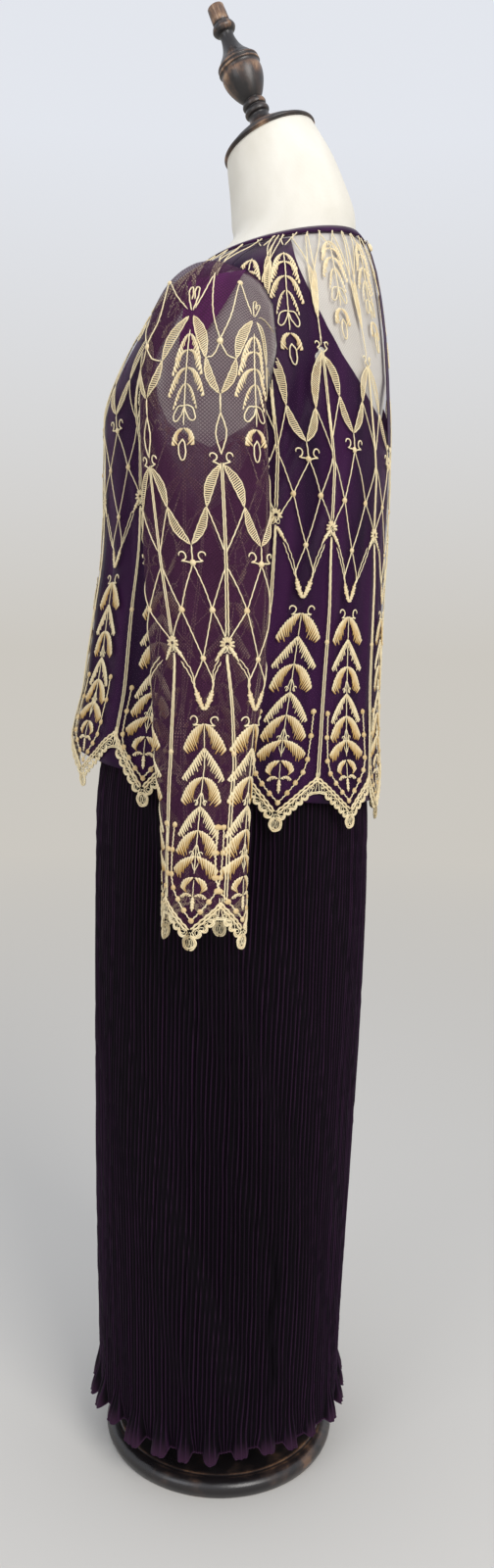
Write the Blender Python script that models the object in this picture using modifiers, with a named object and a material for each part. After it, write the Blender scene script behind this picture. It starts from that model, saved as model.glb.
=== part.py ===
# Skirt suit on a limbless dress form: plisse skirt, satin lining, and a sheer
# tunic with long sleeves, a pointed hem and pointed cuffs edged with cord lace.
# Metres, +Z up, the front of the clothes faces -Y, the wearer's left is +X.

import math

import bmesh
import bpy
import numpy as np

# Stand
BASE_THICK = 0.022
POLE_RADIUS = 0.0125
NECK_LEAN = math.radians(24.0)
CAP_CENTRE = (0.0, 0.033, 1.618)
CAP_HEIGHT = 0.0215

# Cloth
WALL = 0.0010
SEAM = 0.0003
FORM_OUT = -0.0031
TRIM_WALL = 0.0014

# Vandyke hem: thirteen points round the tunic, four round each cuff
BAND_ROWS = (0.0, 0.30, 0.75, 1.0)
BAND_STOPS = (0.0, 0.2, 0.4, 0.6, 0.8, 1.0)
BAND_HOLES = (1, 3)
CUFF_STOPS = (0.0, 0.25, 0.5, 0.75, 1.0)
BAND_SLOPE = 0.019
BAND_VALLEY = 0.021
BAND_TIP = 0.026
CUFF_TIP_Z = 0.719
CUFF_VALLEY_Z = 0.755

# Skirt pleats
PLEATS = 108
PLEAT_HALF = 0.0016
PLEAT_WALL = 0.0013
FLUTES = 28
HEM_Z = 0.066
SKIRT_TOP = 1.0892
WAIST_LOW = 1.0896
WAIST_TOP = 1.115
FORM_SEGMENTS = 28

# Tunic sections: height at y=0, rise per metre of y, front y, back y, half width, roundness
TUNIC = (
    (0.800, 0.00, -0.187, 0.184, 0.178, 2.05),
    (0.865, 0.00, -0.190, 0.183, 0.178, 2.05),
    (0.930, 0.00, -0.193, 0.181, 0.176, 2.05),
    (0.990, 0.00, -0.180, 0.180, 0.174, 2.05),
    (1.085, 0.00, -0.168, 0.181, 0.174, 2.10),
    (1.155, 0.00, -0.158, 0.182, 0.176, 2.10),
    (1.250, 0.00, -0.154, 0.183, 0.180, 2.15),
    (1.300, 0.00, -0.152, 0.181, 0.184, 2.20),
    (1.345, 0.02, -0.136, 0.178, 0.186, 2.15),
    (1.390, 0.05, -0.112, 0.173, 0.185, 2.05),
    (1.428, 0.09, -0.088, 0.166, 0.176, 2.00),
    (1.447, 0.12, -0.075, 0.161, 0.150, 2.00),
    (1.465, 0.15, -0.062, 0.154, 0.112, 2.00),
    (1.478, 0.17, -0.054, 0.147, 0.086, 2.00),
    (1.487, 0.19, -0.047, 0.139, 0.068, 2.00),
    (1.495, 0.20, -0.040, 0.137, 0.062, 2.00),
)

# Dress form below the shoulders, the same columns
TORSO = (
    (0.780, 0.00, -0.108, 0.116, 0.126, 2.10),
    (0.830, 0.00, -0.124, 0.134, 0.142, 2.10),
    (0.920, 0.00, -0.128, 0.138, 0.144, 2.10),
    (1.000, 0.00, -0.112, 0.124, 0.135, 2.10),
    (1.090, 0.00, -0.102, 0.110, 0.128, 2.10),
    (1.155, 0.00, -0.114, 0.122, 0.138, 2.10),
    (1.200, 0.00, -0.130, 0.140, 0.150, 2.10),
    (1.250, 0.00, -0.144, 0.158, 0.164, 2.10),
    (1.300, 0.00, -0.147, 0.172, 0.175, 2.15),
)

# Neck of the form above the neckline, the same columns
NECK = (
    (1.508, 0.22, -0.010, 0.134, 0.060, 2.00),
    (1.530, 0.28, -0.010, 0.124, 0.056, 2.00),
    (1.562, 0.35, -0.0125, 0.108, 0.0535, 2.00),
    (1.588, 0.41, -0.0155, 0.092, 0.0525, 2.00),
    (1.6030, 0.445, -0.0165, 0.0825, 0.0525, 2.00),
)

# Skirt sections, the same columns
SKIRT = (
    (0.040, 0.00, -0.156, 0.157, 0.154, 2.00),
    (0.125, 0.00, -0.159, 0.158, 0.157, 2.00),
    (0.420, 0.00, -0.166, 0.165, 0.162, 2.00),
    (0.830, 0.00, -0.167, 0.170, 0.164, 2.00),
    (0.930, 0.00, -0.152, 0.160, 0.163, 2.05),
    (1.010, 0.00, -0.127, 0.141, 0.152, 2.10),
    (1.0892, 0.00, -0.1055, 0.1135, 0.1315, 2.10),
)

# Armhole half width in degrees: height, tunic, lining
ARMHOLE = (
    (1.180, 0.0, 0.0),
    (1.200, 0.0, 9.0),
    (1.250, 0.0, 15.5),
    (1.275, 13.5, 18.5),
    (1.310, 19.5, 22.0),
    (1.350, 22.0, 24.5),
    (1.390, 19.5, 22.0),
    (1.410, 14.0, 16.5),
    (1.420, 8.5, 10.5),
    (1.428, 0.0, 0.0),
)

# Open back of the lining: height, angle of its edge from the front
OPEN_BACK = (
    (1.290, 180.0),
    (1.310, 163.0),
    (1.350, 144.0),
    (1.390, 132.0),
    (1.428, 122.0),
    (1.447, 117.0),
    (1.465, 112.0),
    (1.478, 108.0),
)

# Points of the tunic hem: angle from the front and lowest height, then the same of the notch after it
FRONT_NOTCH = 0.927
HEM_POINTS = (
    (13.5, 0.869, 26.5, 0.925),
    (40.0, 0.868, 63.0, 0.922),
    (75.5, 0.857, 87.0, 0.898),
    (98.5, 0.845, 110.0, 0.886),
    (121.2, 0.835, 137.8, 0.877),
    (153.4, 0.832, 167.0, 0.878),
    (180.0, 0.832, 180.0, 0.878),
)
SIDE = 92.0

# Spacings of the hem below this many degrees get no extra column and no cut
SHORT = 8.0

# Sleeve sections: inner x, inner z, outer x, outer z, middle y, half depth
SLEEVE = (
    (0.1832, 1.2460, 0.2010, 1.4330, 0.022, 0.0640),
    (0.1850, 1.2380, 0.2330, 1.4080, 0.023, 0.0655),
    (0.1858, 1.2250, 0.2540, 1.3480, 0.025, 0.0665),
    (0.1860, 1.2000, 0.2580, 1.2520, 0.028, 0.0665),
    (0.1862, 1.1300, 0.2590, 1.1400, 0.033, 0.0650),
    (0.1868, 1.0300, 0.2570, 1.0300, 0.036, 0.0600),
    (0.1880, 0.9100, 0.2530, 0.9100, 0.034, 0.0515),
    (0.1885, 0.8500, 0.2525, 0.8500, 0.035, 0.0475),
)
CUFF = (0.1890, 0.2530, 0.036, 0.0455)

# Points of the cuff: angle round the sleeve from its outer side towards the front
CUFF_POINTS = (7.0, 98.0, 190.0, 283.0)

# Turned profiles, radius and height, top to bottom
BASE_PROFILE = (
    (0.0, BASE_THICK),
    (0.1320, BASE_THICK),
    (0.1400, 0.0205),
    (0.1470, 0.0165),
    (0.1500, 0.0100),
    (0.1480, 0.0030),
    (0.1460, 0.0),
    (0.0, 0.0),
)
CAP_PROFILE = (
    (0.0, CAP_HEIGHT),
    (0.0230, CAP_HEIGHT),
    (0.0250, 0.0195),
    (0.0340, 0.0170),
    (0.0360, 0.0140),
    (0.0450, 0.0110),
    (0.0475, 0.0075),
    (0.0545, 0.0050),
    (0.0565, 0.0020),
    (0.0545, 0.0),
    (0.0, 0.0),
)
FINIAL_PROFILE = (
    (0.0, 0.1500),
    (0.0096, 0.1500),
    (0.0102, 0.1310),
    (0.0092, 0.1285),
    (0.0136, 0.1220),
    (0.0080, 0.1150),
    (0.0105, 0.0995),
    (0.0175, 0.0880),
    (0.0242, 0.0785),
    (0.0250, 0.0740),
    (0.0238, 0.0700),
    (0.0236, 0.0625),
    (0.0202, 0.0500),
    (0.0104, 0.0335),
    (0.0138, 0.0305),
    (0.0138, 0.0262),
    (0.0118, 0.0240),
    (0.0144, 0.0218),
    (0.0144, 0.0175),
    (0.0120, 0.0130),
    (0.0150, 0.0065),
    (0.0190, 0.0020),
    (0.0190, 0.0),
    (0.0, 0.0),
)


def clear_scene():
    for obj in list(bpy.data.objects):
        bpy.data.objects.remove(obj, do_unlink=True)


def smooth_rows(table, heights):
    """Smooth columns of a section table at any heights."""
    rows = np.asarray(table, float)
    z = rows[:, 0]
    slope = np.empty_like(rows)
    slope[1:-1] = (rows[2:] - rows[:-2]) / (z[2:] - z[:-2])[:, None]
    slope[0] = (rows[1] - rows[0]) / (z[1] - z[0])
    slope[-1] = (rows[-1] - rows[-2]) / (z[-1] - z[-2])
    h = np.clip(np.asarray(heights, float), z[0], z[-1])
    i = np.clip(np.searchsorted(z, h) - 1, 0, len(z) - 2)
    span = (z[i + 1] - z[i])[..., None]
    f = ((h - z[i]) / (z[i + 1] - z[i]))[..., None]
    a = (1 + 2 * f) * (1 - f) ** 2 * rows[i] + f * f * (3 - 2 * f) * rows[i + 1]
    b = f * (1 - f) ** 2 * slope[i] - f * f * (1 - f) * slope[i + 1]
    return a + b * span


def ring_points(table, v, t):
    """Points of the sections at heights v and angles t from the front."""
    row = smooth_rows(table, v)
    power = 2.0 / row[..., 5]
    s = np.sin(t)
    c = np.cos(t)
    x = row[..., 4] * np.sign(s) * np.abs(s) ** power
    middle = (row[..., 2] + row[..., 3]) / 2
    half = (row[..., 3] - row[..., 2]) / 2
    y = middle - half * np.sign(c) * np.abs(c) ** power
    z = np.asarray(v) + row[..., 1] * y
    return np.stack([x, y, z], -1)


def surface(table, v, t, out=0.0):
    """Points of a section table moved out along the surface."""
    v, t = np.broadcast_arrays(np.asarray(v, float), np.asarray(t, float))
    low = np.maximum(v - 0.0015, table[0][0])
    high = np.minimum(v + 0.0015, table[-1][0])
    along = ring_points(table, high, t) - ring_points(table, low, t)
    around = ring_points(table, v, t + 0.01) - ring_points(table, v, t - 0.01)
    normal = np.cross(around, along)
    normal /= np.linalg.norm(normal, axis=-1, keepdims=True)
    return ring_points(table, v, t) + normal * out


def add_mesh(name, verts, faces, material, collection):
    mesh = bpy.data.meshes.new(name)
    mesh.from_pydata([tuple(map(float, p)) for p in verts], [], faces)
    build = bmesh.new()
    build.from_mesh(mesh)
    bmesh.ops.remove_doubles(build, verts=build.verts, dist=1e-6)
    bmesh.ops.recalc_face_normals(build, faces=build.faces)
    build.to_mesh(mesh)
    build.free()
    obj = bpy.data.objects.new(name, mesh)
    obj.data.materials.append(material)
    collection.objects.link(obj)
    return obj


def convex_cells(points, away, closed, holes=()):
    """Triangles of a grid, each cell split along the diagonal that stands further out."""
    rows, cols = points.shape[:2]
    flat = points.reshape(-1, 3)
    out = away.reshape(-1, 3)
    faces = []
    for i in range(rows - 1):
        for j in range(cols if closed else cols - 1):
            if (i, j) in holes:
                continue
            k = (j + 1) % cols
            a = i * cols + j
            b = i * cols + k
            c = (i + 1) * cols + k
            d = (i + 1) * cols + j
            lift = np.dot(flat[a] + flat[c] - flat[b] - flat[d], out[a] + out[b] + out[c] + out[d])
            if lift > 0:
                faces += [(a, b, c), (a, c, d)]
            else:
                faces += [(a, b, d), (b, c, d)]
    return faces


def wall(name, outer, inner, material, collection, closed=False, holes=()):
    """A closed wall between two grids of points, with any holes cut through."""
    rows, cols = outer.shape[:2]
    count = rows * cols
    faces = convex_cells(outer, outer - inner, closed, holes)
    edges = set()
    for face in faces:
        for a, b in zip(face, face[1:] + face[:1]):
            edges.add((a, b))
    rims = [(b, a, a + count, b + count) for a, b in edges if (b, a) not in edges]
    back = [tuple(n + count for n in reversed(face)) for face in faces]
    verts = np.concatenate([outer.reshape(-1, 3), inner.reshape(-1, 3)])
    return add_mesh(name, verts, faces + back + sorted(rims), material, collection)


def solid_tube(name, rings, material, collection):
    """A closed body through rings, with a flat fan at each end."""
    rows, cols = rings.shape[:2]
    faces = convex_cells(rings, rings - rings.mean(axis=1, keepdims=True), True)
    faces.append(tuple(reversed(range(cols))))
    faces.append(tuple((rows - 1) * cols + j for j in range(cols)))
    return add_mesh(name, rings.reshape(-1, 3), faces, material, collection)


def turned(name, profile, segments, material, collection, lean=0.0, at=(0.0, 0.0, 0.0)):
    """A turned body: a profile at +X, top to bottom, with a Screw modifier applied."""
    mesh = bpy.data.meshes.new(name)
    verts = [(r, 0.0, h) for r, h in profile]
    mesh.from_pydata(verts, [(i, i + 1) for i in range(len(verts) - 1)], [])
    obj = bpy.data.objects.new(name, mesh)
    collection.objects.link(obj)
    screw = obj.modifiers.new("turn", "SCREW")
    screw.steps = segments
    screw.render_steps = segments
    screw.use_merge_vertices = True
    screw.merge_threshold = 0.00001
    graph = bpy.context.evaluated_depsgraph_get()
    spun = bpy.data.meshes.new_from_object(obj.evaluated_get(graph))
    obj.modifiers.clear()
    obj.data = spun
    build = bmesh.new()
    build.from_mesh(spun)
    bmesh.ops.remove_doubles(build, verts=build.verts, dist=1e-6)
    bmesh.ops.recalc_face_normals(build, faces=build.faces)
    build.to_mesh(spun)
    build.free()
    cs = math.cos(lean)
    sn = math.sin(lean)
    for vert in spun.vertices:
        x, y, z = vert.co
        vert.co = (x + at[0], y * cs - z * sn + at[1], y * sn + z * cs + at[2])
    spun.materials.clear()
    spun.materials.append(material)
    return obj


def colour(name, rgb, rough):
    mat = bpy.data.materials.new(name)
    mat.use_nodes = True
    shader = mat.node_tree.nodes["Principled BSDF"]
    shader.inputs["Base Color"].default_value = (*rgb, 1.0)
    shader.inputs["Roughness"].default_value = rough
    mat.diffuse_color = (*rgb, 1.0)
    return mat


def open_width(v, column):
    """Half width of an armhole at heights v, in degrees."""
    rows = np.asarray(ARMHOLE)
    return np.interp(v, rows[:, 0], rows[:, column])


def back_edge(v):
    """Angle of the lining's open back at heights v, in degrees."""
    rows = np.asarray(OPEN_BACK)
    return np.interp(v, rows[:, 0], rows[:, 1])


def hem_corners():
    """Angles of all points and notches round the left half, with the heights of the lace there."""
    corners = [(0.0, FRONT_NOTCH, FRONT_NOTCH + BAND_VALLEY)]
    for tip, low, between, notch in HEM_POINTS:
        corners.append((tip, low, low + BAND_TIP))
        corners.append((between, notch, notch + BAND_VALLEY))
    return np.asarray(corners[:-1])


CORNERS = hem_corners()


def hem_inner(angle):
    """Height of the upper edge of the lace at angles from the front, in degrees."""
    return np.interp(np.abs(angle), CORNERS[:, 0], CORNERS[:, 2])


def hem_stops(start, end):
    """Corner angles from start to end, with the two edges of the panel."""
    both = np.concatenate([-CORNERS[::-1, 0], CORNERS[1:, 0]])
    kept = both[(both > start + 1.0) & (both < end - 1.0)]
    return np.concatenate([[start], kept, [end]])


def hem_angles(start, end):
    """Angles of a panel's columns: its corners, and one between each pair that lies apart."""
    stops = hem_stops(start, end)
    out = [np.linspace(a, b, 3 if b - a > SHORT else 2)[:-1] for a, b in zip(stops[:-1], stops[1:])]
    return np.concatenate(out + [[end]])


SEAM_ANGLE = math.degrees(0.7 * SEAM / 0.178)
PANEL_ROWS = (0.970, 1.080, 1.180, 1.250, 1.275, 1.310, 1.350, 1.390, 1.410, 1.420, 1.428, 1.450, 1.465)


def panel_grid(start, end, top, column, back=False):
    """Angles and heights of a body panel between two upright edges, in degrees and metres."""
    base = hem_angles(start, end)
    hem = hem_inner(base) + 0.0007
    heights = [hem, (hem + PANEL_ROWS[0]) / 2]
    heights += [np.full_like(base, z) for z in PANEL_ROWS + (top,)]
    v = np.array(heights)
    width = open_width(v[:, 0], column)
    edges = []
    for edge in (start, end):
        at_side = abs(abs(edge) - SIDE) < 1.0
        grow = math.copysign(1.0, edge) * (1.0 if back else -1.0)
        edges.append(edge + grow * width * at_side)
    low, high = edges
    angles = low[:, None] + (base - start) / (end - start) * (high - low)[:, None]
    return v, np.radians(angles)


def tunic_panels(material, collection):
    top = 1.4795
    gap = SEAM_ANGLE
    v, t = panel_grid(-SIDE + gap, SIDE - gap, top, 1)
    wall("tunic_front", surface(TUNIC, v, t, WALL), surface(TUNIC, v, t), material, collection)
    for side, name in ((1, "tunic_back_left"), (-1, "tunic_back_right")):
        start = side * (SIDE + gap)
        end = side * (180.0 - 2 * gap)
        low, high = min(start, end), max(start, end)
        v, t = panel_grid(low, high, top, 1, back=True)
        wall(name, surface(TUNIC, v, t, WALL), surface(TUNIC, v, t), material, collection)


def lining_hem(angle):
    """Height of the lining's plain hem: higher in front, where the bust takes it up."""
    return 0.895 - 0.035 * (1 - np.cos(np.radians(angle))) / 2 + 0.020 * (1 + np.cos(np.radians(angle))) / 2


LINING_ROWS = (0.970, 1.080, 1.180, 1.200, 1.250, 1.275, 1.310, 1.350, 1.390, 1.410, 1.420, 1.428, 1.450)


def lining_out(v):
    """How far the lining lies inside the tulle: a little more where the tulle hangs free."""
    return np.interp(v, (0.93, 1.08, 1.30, 1.36), (-0.0022, -0.0016, -0.0016, -0.00125))


def lining_panel(name, low_at, high_at, top, count, material, collection):
    """A lining piece between two edges that change with height."""
    f = np.linspace(0.0, 1.0, count + 1)
    heights = [z for z in LINING_ROWS if z < top - 1e-6] + [top]
    v = [np.zeros(count + 1)]
    t = [low_at(0.9) + f * (high_at(0.9) - low_at(0.9))]
    v[0] = lining_hem(t[0])
    for z in heights:
        v.append(np.full(count + 1, z))
        t.append(low_at(z) + f * (high_at(z) - low_at(z)))
    v = np.array(v)
    t = np.radians(np.array(t))
    outer = surface(TUNIC, v, t, lining_out(v)[..., None])
    inner = surface(TUNIC, v, t, lining_out(v)[..., None] - WALL)
    return wall(name, outer, inner, material, collection)


def lining_panels(material, collection):
    gap = SEAM_ANGLE

    def side_front(z):
        return 90.0 - gap - float(open_width(z, 2))

    def side_back(z):
        return 90.0 + gap + float(open_width(z, 2))

    def back(z):
        return min(180.0 - 2 * gap, float(back_edge(z)))

    def negative(edge):
        return lambda z: -edge(z)

    top = 1.4745
    lining_panel("lining_front", negative(side_front), side_front, top, 18, material, collection)
    lining_panel("lining_back_left", side_back, back, top, 8, material, collection)
    lining_panel("lining_back_right", negative(back), negative(side_back), top, 8, material, collection)
    for side, name in ((1, "shoulder_pad_left"), (-1, "shoulder_pad_right")):
        v = np.array([[z] * 5 for z in (1.375, 1.390, 1.410, 1.418)])
        t = []
        for z in v[:, 0]:
            half = float(open_width(z, 1)) - 0.9 - (2.5 if z < 1.38 else 0.0)
            t.append(np.linspace(90.0 - half, 90.0 + half, 5)[::side] * side)
        t = np.radians(np.array(t))
        outer = surface(TUNIC, v, t, -0.0010)
        inner = surface(TUNIC, v, t, -0.0010 - WALL)
        wall(name, outer, inner, material, collection)


def hem_lace(material, collection):
    """Cord lace below the pointed hem of each body panel, cut through between its cords."""
    gap = SEAM_ANGLE
    pieces = (
        ("hem_lace_front", -SIDE + gap, SIDE - gap),
        ("hem_lace_back_left", SIDE + gap, 180.0 - 2 * gap),
        ("hem_lace_back_right", -180.0 + 2 * gap, -SIDE - gap),
    )
    for name, start, end in pieces:
        stops = hem_stops(start, end)
        angles = []
        holes = set()
        for a, b in zip(stops[:-1], stops[1:]):
            if b - a < SHORT:
                angles += [a, (a + b) / 2]
                continue
            for k in range(len(BAND_STOPS) - 1):
                if k in BAND_HOLES:
                    holes.add((1, len(angles)))
                angles.append(a + (b - a) * BAND_STOPS[k])
        angles.append(end)
        angles = np.array(angles)
        tip_near = np.interp(np.abs(angles), CORNERS[:, 0], (np.arange(len(CORNERS)) + 1) % 2)
        deep = BAND_SLOPE + (BAND_TIP - BAND_SLOPE) * np.clip(1 - tip_near * 5, 0, 1)
        deep += (BAND_VALLEY - BAND_SLOPE) * np.clip(tip_near * 5 - 4, 0, 1)
        top = hem_inner(angles)
        v = np.array([top - q * deep for q in BAND_ROWS])[::-1]
        t = np.radians(np.broadcast_to(angles, v.shape))
        flip = {(len(BAND_ROWS) - 2 - i, j) for i, j in holes}
        outer = surface(TUNIC, v, t, TRIM_WALL)
        inner = surface(TUNIC, v, t)
        wall(name, outer, inner, material, collection, holes=flip)


def cuff_corners():
    """Angles of the points and notches round a cuff, in order, with the last one repeated."""
    tips = list(CUFF_POINTS) + [CUFF_POINTS[0] + 360.0]
    out = []
    for a, b in zip(tips[:-1], tips[1:]):
        out += [(a, CUFF_TIP_Z, BAND_TIP), ((a + b) / 2, CUFF_VALLEY_Z, BAND_VALLEY)]
    out.append((tips[-1], CUFF_TIP_Z, BAND_TIP))
    return np.asarray(out)


CUFFS = cuff_corners()


def cuff_inner(angle):
    turn = (np.asarray(angle) - CUFFS[0, 0]) % 360.0 + CUFFS[0, 0]
    return np.interp(turn, CUFFS[:, 0], CUFFS[:, 1] + CUFFS[:, 2])


def sleeve_angles(between):
    stops = [np.linspace(a, b, between + 1)[:-1] for a, b in zip(CUFFS[:-1, 0], CUFFS[1:, 0])]
    return np.concatenate(stops)


def armhole_loop(angle):
    """Points on the tunic body just inside its armhole, for the head of the left sleeve."""
    a = np.radians(angle)
    v = 1.3390 + 0.0884 * np.cos(a)
    width = open_width(v, 1) - 0.22
    t = np.radians(SIDE - np.sign(np.sin(a)) * np.maximum(width, 0.02))
    return surface(TUNIC, v, t, WALL + 0.0004)


def sleeve_ring(ix, iz, ox, oz, y, half, angle):
    a = np.radians(angle)
    c = np.cos(a)
    s = np.sin(a)
    x = (ix + ox) / 2 + (ox - ix) / 2 * c
    z = (iz + oz) / 2 + (oz - iz) / 2 * c
    return np.stack([x, y - half * s, z], -1)


def cuff_point(angle, z):
    """Points of the cuff below the last sleeve section, at any heights."""
    ix, ox, y, half = CUFF
    p = sleeve_ring(ix, 0.0, ox, 0.0, y, half, angle)
    p[..., 2] = z
    return p


def grid_normals(grid):
    """Unit normals of a closed tube's grid."""
    around = np.roll(grid, -1, 1) - np.roll(grid, 1, 1)
    along = np.gradient(grid, axis=0)
    normal = np.cross(around, along)
    normal /= np.linalg.norm(normal, axis=-1, keepdims=True)
    return normal


def mirrored(grid, side):
    return grid * np.array([side, 1.0, 1.0])


def sleeves(material, collection):
    angle = sleeve_angles(3)
    rings = [armhole_loop(angle)]
    rings += [sleeve_ring(*row, angle) for row in SLEEVE]
    rings.append(cuff_point(angle, cuff_inner(angle) + 0.0007))
    outer = np.array(rings)
    normal = grid_normals(outer)
    middle = outer.mean(axis=1, keepdims=True)
    sign = np.sign(((outer - middle) * normal).sum(-1).mean())
    inner = outer - normal * sign * WALL
    for side, name in ((1, "sleeve_left"), (-1, "sleeve_right")):
        wall(name, mirrored(outer, side), mirrored(inner, side), material, collection, closed=True)


def cuff_lace(material, collection):
    """Cord lace round the pointed cuffs, in a front and a back half."""
    ix, ox, y0, half = CUFF
    for side, hand in ((1, "left"), (-1, "right")):
        for k, word in ((0, "front"), (1, "back")):
            stops = CUFFS[k * 4:k * 4 + 5, 0].copy()
            stops[0] += 0.25
            stops[-1] -= 0.25
            angles = []
            holes = set()
            for a, b in zip(stops[:-1], stops[1:]):
                for n in range(len(CUFF_STOPS) - 1):
                    at_end = b == stops[-1] and n == len(CUFF_STOPS) - 2
                    if n in BAND_HOLES and not at_end:
                        holes.add((1, len(angles)))
                    angles.append(a + (b - a) * CUFF_STOPS[n])
            angles.append(stops[-1])
            angles = np.array(angles)
            near = np.interp(angles, CUFFS[:, 0], np.arange(len(CUFFS)) % 2)
            deep = BAND_SLOPE + (BAND_TIP - BAND_SLOPE) * np.clip(1 - near * 5, 0, 1)
            deep += (BAND_VALLEY - BAND_SLOPE) * np.clip(near * 5 - 4, 0, 1)
            z = np.array([cuff_inner(angles) - q * deep for q in BAND_ROWS])
            flat = np.broadcast_to(angles, z.shape)
            outer = cuff_point(flat, z)
            centre = np.array([(ix + ox) / 2, y0, 0.0])
            away = outer - centre
            away[..., 2] = 0.0
            away /= np.array([((ox - ix) / 2) ** 2, half ** 2, 1.0])
            away /= np.linalg.norm(away, axis=-1, keepdims=True)
            inner = outer - away * WALL
            outer = outer + away * (TRIM_WALL - WALL)
            name = f"cuff_lace_{hand}_{word}"
            wall(name, mirrored(outer, side), mirrored(inner, side), material, collection, holes=holes)


def skirt_panels(material, collection):
    """Front and back of the pleated skirt, with narrow pleats and a fluted hem."""
    half = PLEATS // 2
    heights = (HEM_Z, 0.125, 0.880, SKIRT_TOP)
    for name, start in (("skirt_front", -90.0), ("skirt_back", 90.0)):
        gap = math.degrees(SEAM / 2 / 0.16)
        columns = np.arange(2 * half + 1)
        t = np.radians(start + gap + columns * (180.0 - 2 * gap) / (2 * half))
        wave = np.where(columns % 2 == 0, -1.0, 1.0)
        wave[0] = 0.0
        wave[-1] = 0.0
        flute = np.cos(2 * math.pi * FLUTES * (np.radians(start) + (t - t[0])) / (2 * math.pi))
        outer = []
        inner = []
        for z in heights:
            reach = np.interp(z, (HEM_Z, 0.125), (1.0, 0.0))
            size = np.interp(z, (0.96, SKIRT_TOP), (PLEAT_HALF, 0.0007))
            spread = reach * (0.0065 + 0.0060 * flute)
            drop = reach * 0.005 * flute
            level = np.full_like(t, z) - drop
            outer.append(surface(SKIRT, level, t, 0.0) + outward(t) * (spread + wave * size)[:, None])
            inner.append(outer[-1] - outward(t) * PLEAT_WALL)
        wall(name, np.array(outer), np.array(inner), material, collection)


def outward(t):
    return np.stack([np.sin(t), -np.cos(t), np.zeros_like(t)], -1)


def waistband(material, collection):
    t = np.radians(np.linspace(-180.0, 180.0, FORM_SEGMENTS + 1)[:-1])
    rows = []
    back = []
    for z in (WAIST_LOW, WAIST_TOP):
        v = np.full_like(t, z)
        rows.append(surface(TORSO, v, t, 0.0037))
        back.append(surface(TORSO, v, t, 0.0007))
    wall("skirt_waistband", np.array(rows), np.array(back), material, collection, closed=True)


def form_body(material, collection):
    """The limbless body and neck of the dress form, whole and smooth."""
    t = np.radians(np.linspace(-180.0, 180.0, FORM_SEGMENTS + 1)[:-1])
    rings = []
    for z in (0.780, 0.830, 0.920, 1.010, WAIST_LOW, WAIST_TOP, 1.180, 1.250, 1.300):
        rings.append(ring_points(TORSO, np.full_like(t, z), t))
    for z in (1.350, 1.390, 1.410, 1.420, 1.428, 1.450, 1.465, 1.478, 1.487):
        rings.append(surface(TUNIC, np.full_like(t, z), t, FORM_OUT))
    for row in NECK:
        rings.append(ring_points(NECK, np.full_like(t, row[0]), t))
    return solid_tube("form_torso", np.array(rings), material, collection)


def neck_binding(material, collection):
    """Satin binding round the neckline, open at the back."""
    gap = 0.5
    t = np.radians(np.linspace(-180.0 + gap, 180.0 - gap, 29))
    outer = []
    inner = []
    for z in (1.4799, 1.4862):
        v = np.full_like(t, z)
        outer.append(surface(TUNIC, v, t, 0.0012))
        inner.append(surface(TUNIC, v, t, -0.0010))
    wall("neck_binding", np.array(outer), np.array(inner), material, collection)


def plackets(material, collection):
    """Narrow satin bands on both edges of the back slit, and the button that shuts it."""
    heights = np.array([1.275, 1.310, 1.350, 1.390, 1.410, 1.428, 1.450, 1.465, 1.477])
    for side, name in ((1, "placket_left"), (-1, "placket_right")):
        near = side * (180.0 - 2 * SEAM_ANGLE)
        far = side * (180.0 - 2.4)
        t = np.radians(np.array([min(near, far), (near + far) / 2, max(near, far)]))
        v, tt = np.meshgrid(heights, t, indexing="ij")
        outer = surface(TUNIC, v, tt, 2 * WALL + 0.0004)
        inner = surface(TUNIC, v, tt, WALL + 0.0004)
        wall(name, outer, inner, material, collection)


def nape_button(material, collection):
    """The small covered button at the top of the slit."""
    a = np.radians(np.linspace(0.0, 360.0, 11)[:-1])
    rings = []
    for out, size in ((0.0027, 0.0030), (0.0032, 0.0036), (0.0045, 0.0036), (0.0050, 0.0028)):
        v = 1.4700 + size * np.sin(a)
        t = np.radians(177.0) + size / 0.10 * np.cos(a)
        rings.append(surface(TUNIC, v, t, out))
    solid_tube("nape_button", np.array(rings), material, collection)


def main():
    clear_scene()
    suit = bpy.data.collections.new("skirt_suit")
    bpy.context.scene.collection.children.link(suit)
    tulle = colour("tulle", (0.16, 0.05, 0.17), 0.8)
    satin = colour("satin", (0.05, 0.012, 0.06), 0.45)
    pleated = colour("pleated", (0.035, 0.010, 0.035), 0.6)
    cord = colour("cord", (0.82, 0.70, 0.45), 0.6)
    linen = colour("linen", (0.84, 0.81, 0.72), 0.9)
    wood = colour("wood", (0.055, 0.032, 0.022), 0.45)

    turned("base", BASE_PROFILE, 28, wood, suit)
    pole_top = 0.780 - SEAM
    pole = ((0.0, pole_top), (POLE_RADIUS, pole_top), (POLE_RADIUS, BASE_THICK + SEAM), (0.0, BASE_THICK + SEAM))
    turned("pole", pole, 16, wood, suit)
    form_body(linen, suit)
    lean = NECK_LEAN
    up = (0.0, -math.sin(lean), math.cos(lean))
    turned("neck_cap", CAP_PROFILE, 24, wood, suit, lean, CAP_CENTRE)
    foot = tuple(CAP_CENTRE[i] + up[i] * (CAP_HEIGHT + SEAM) for i in range(3))
    turned("finial", FINIAL_PROFILE, 12, wood, suit, lean, foot)

    skirt_panels(pleated, suit)
    waistband(pleated, suit)
    lining_panels(satin, suit)
    tunic_panels(tulle, suit)
    sleeves(tulle, suit)
    hem_lace(cord, suit)
    cuff_lace(cord, suit)
    neck_binding(satin, suit)
    plackets(satin, suit)
    nape_button(cord, suit)


main()
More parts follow.
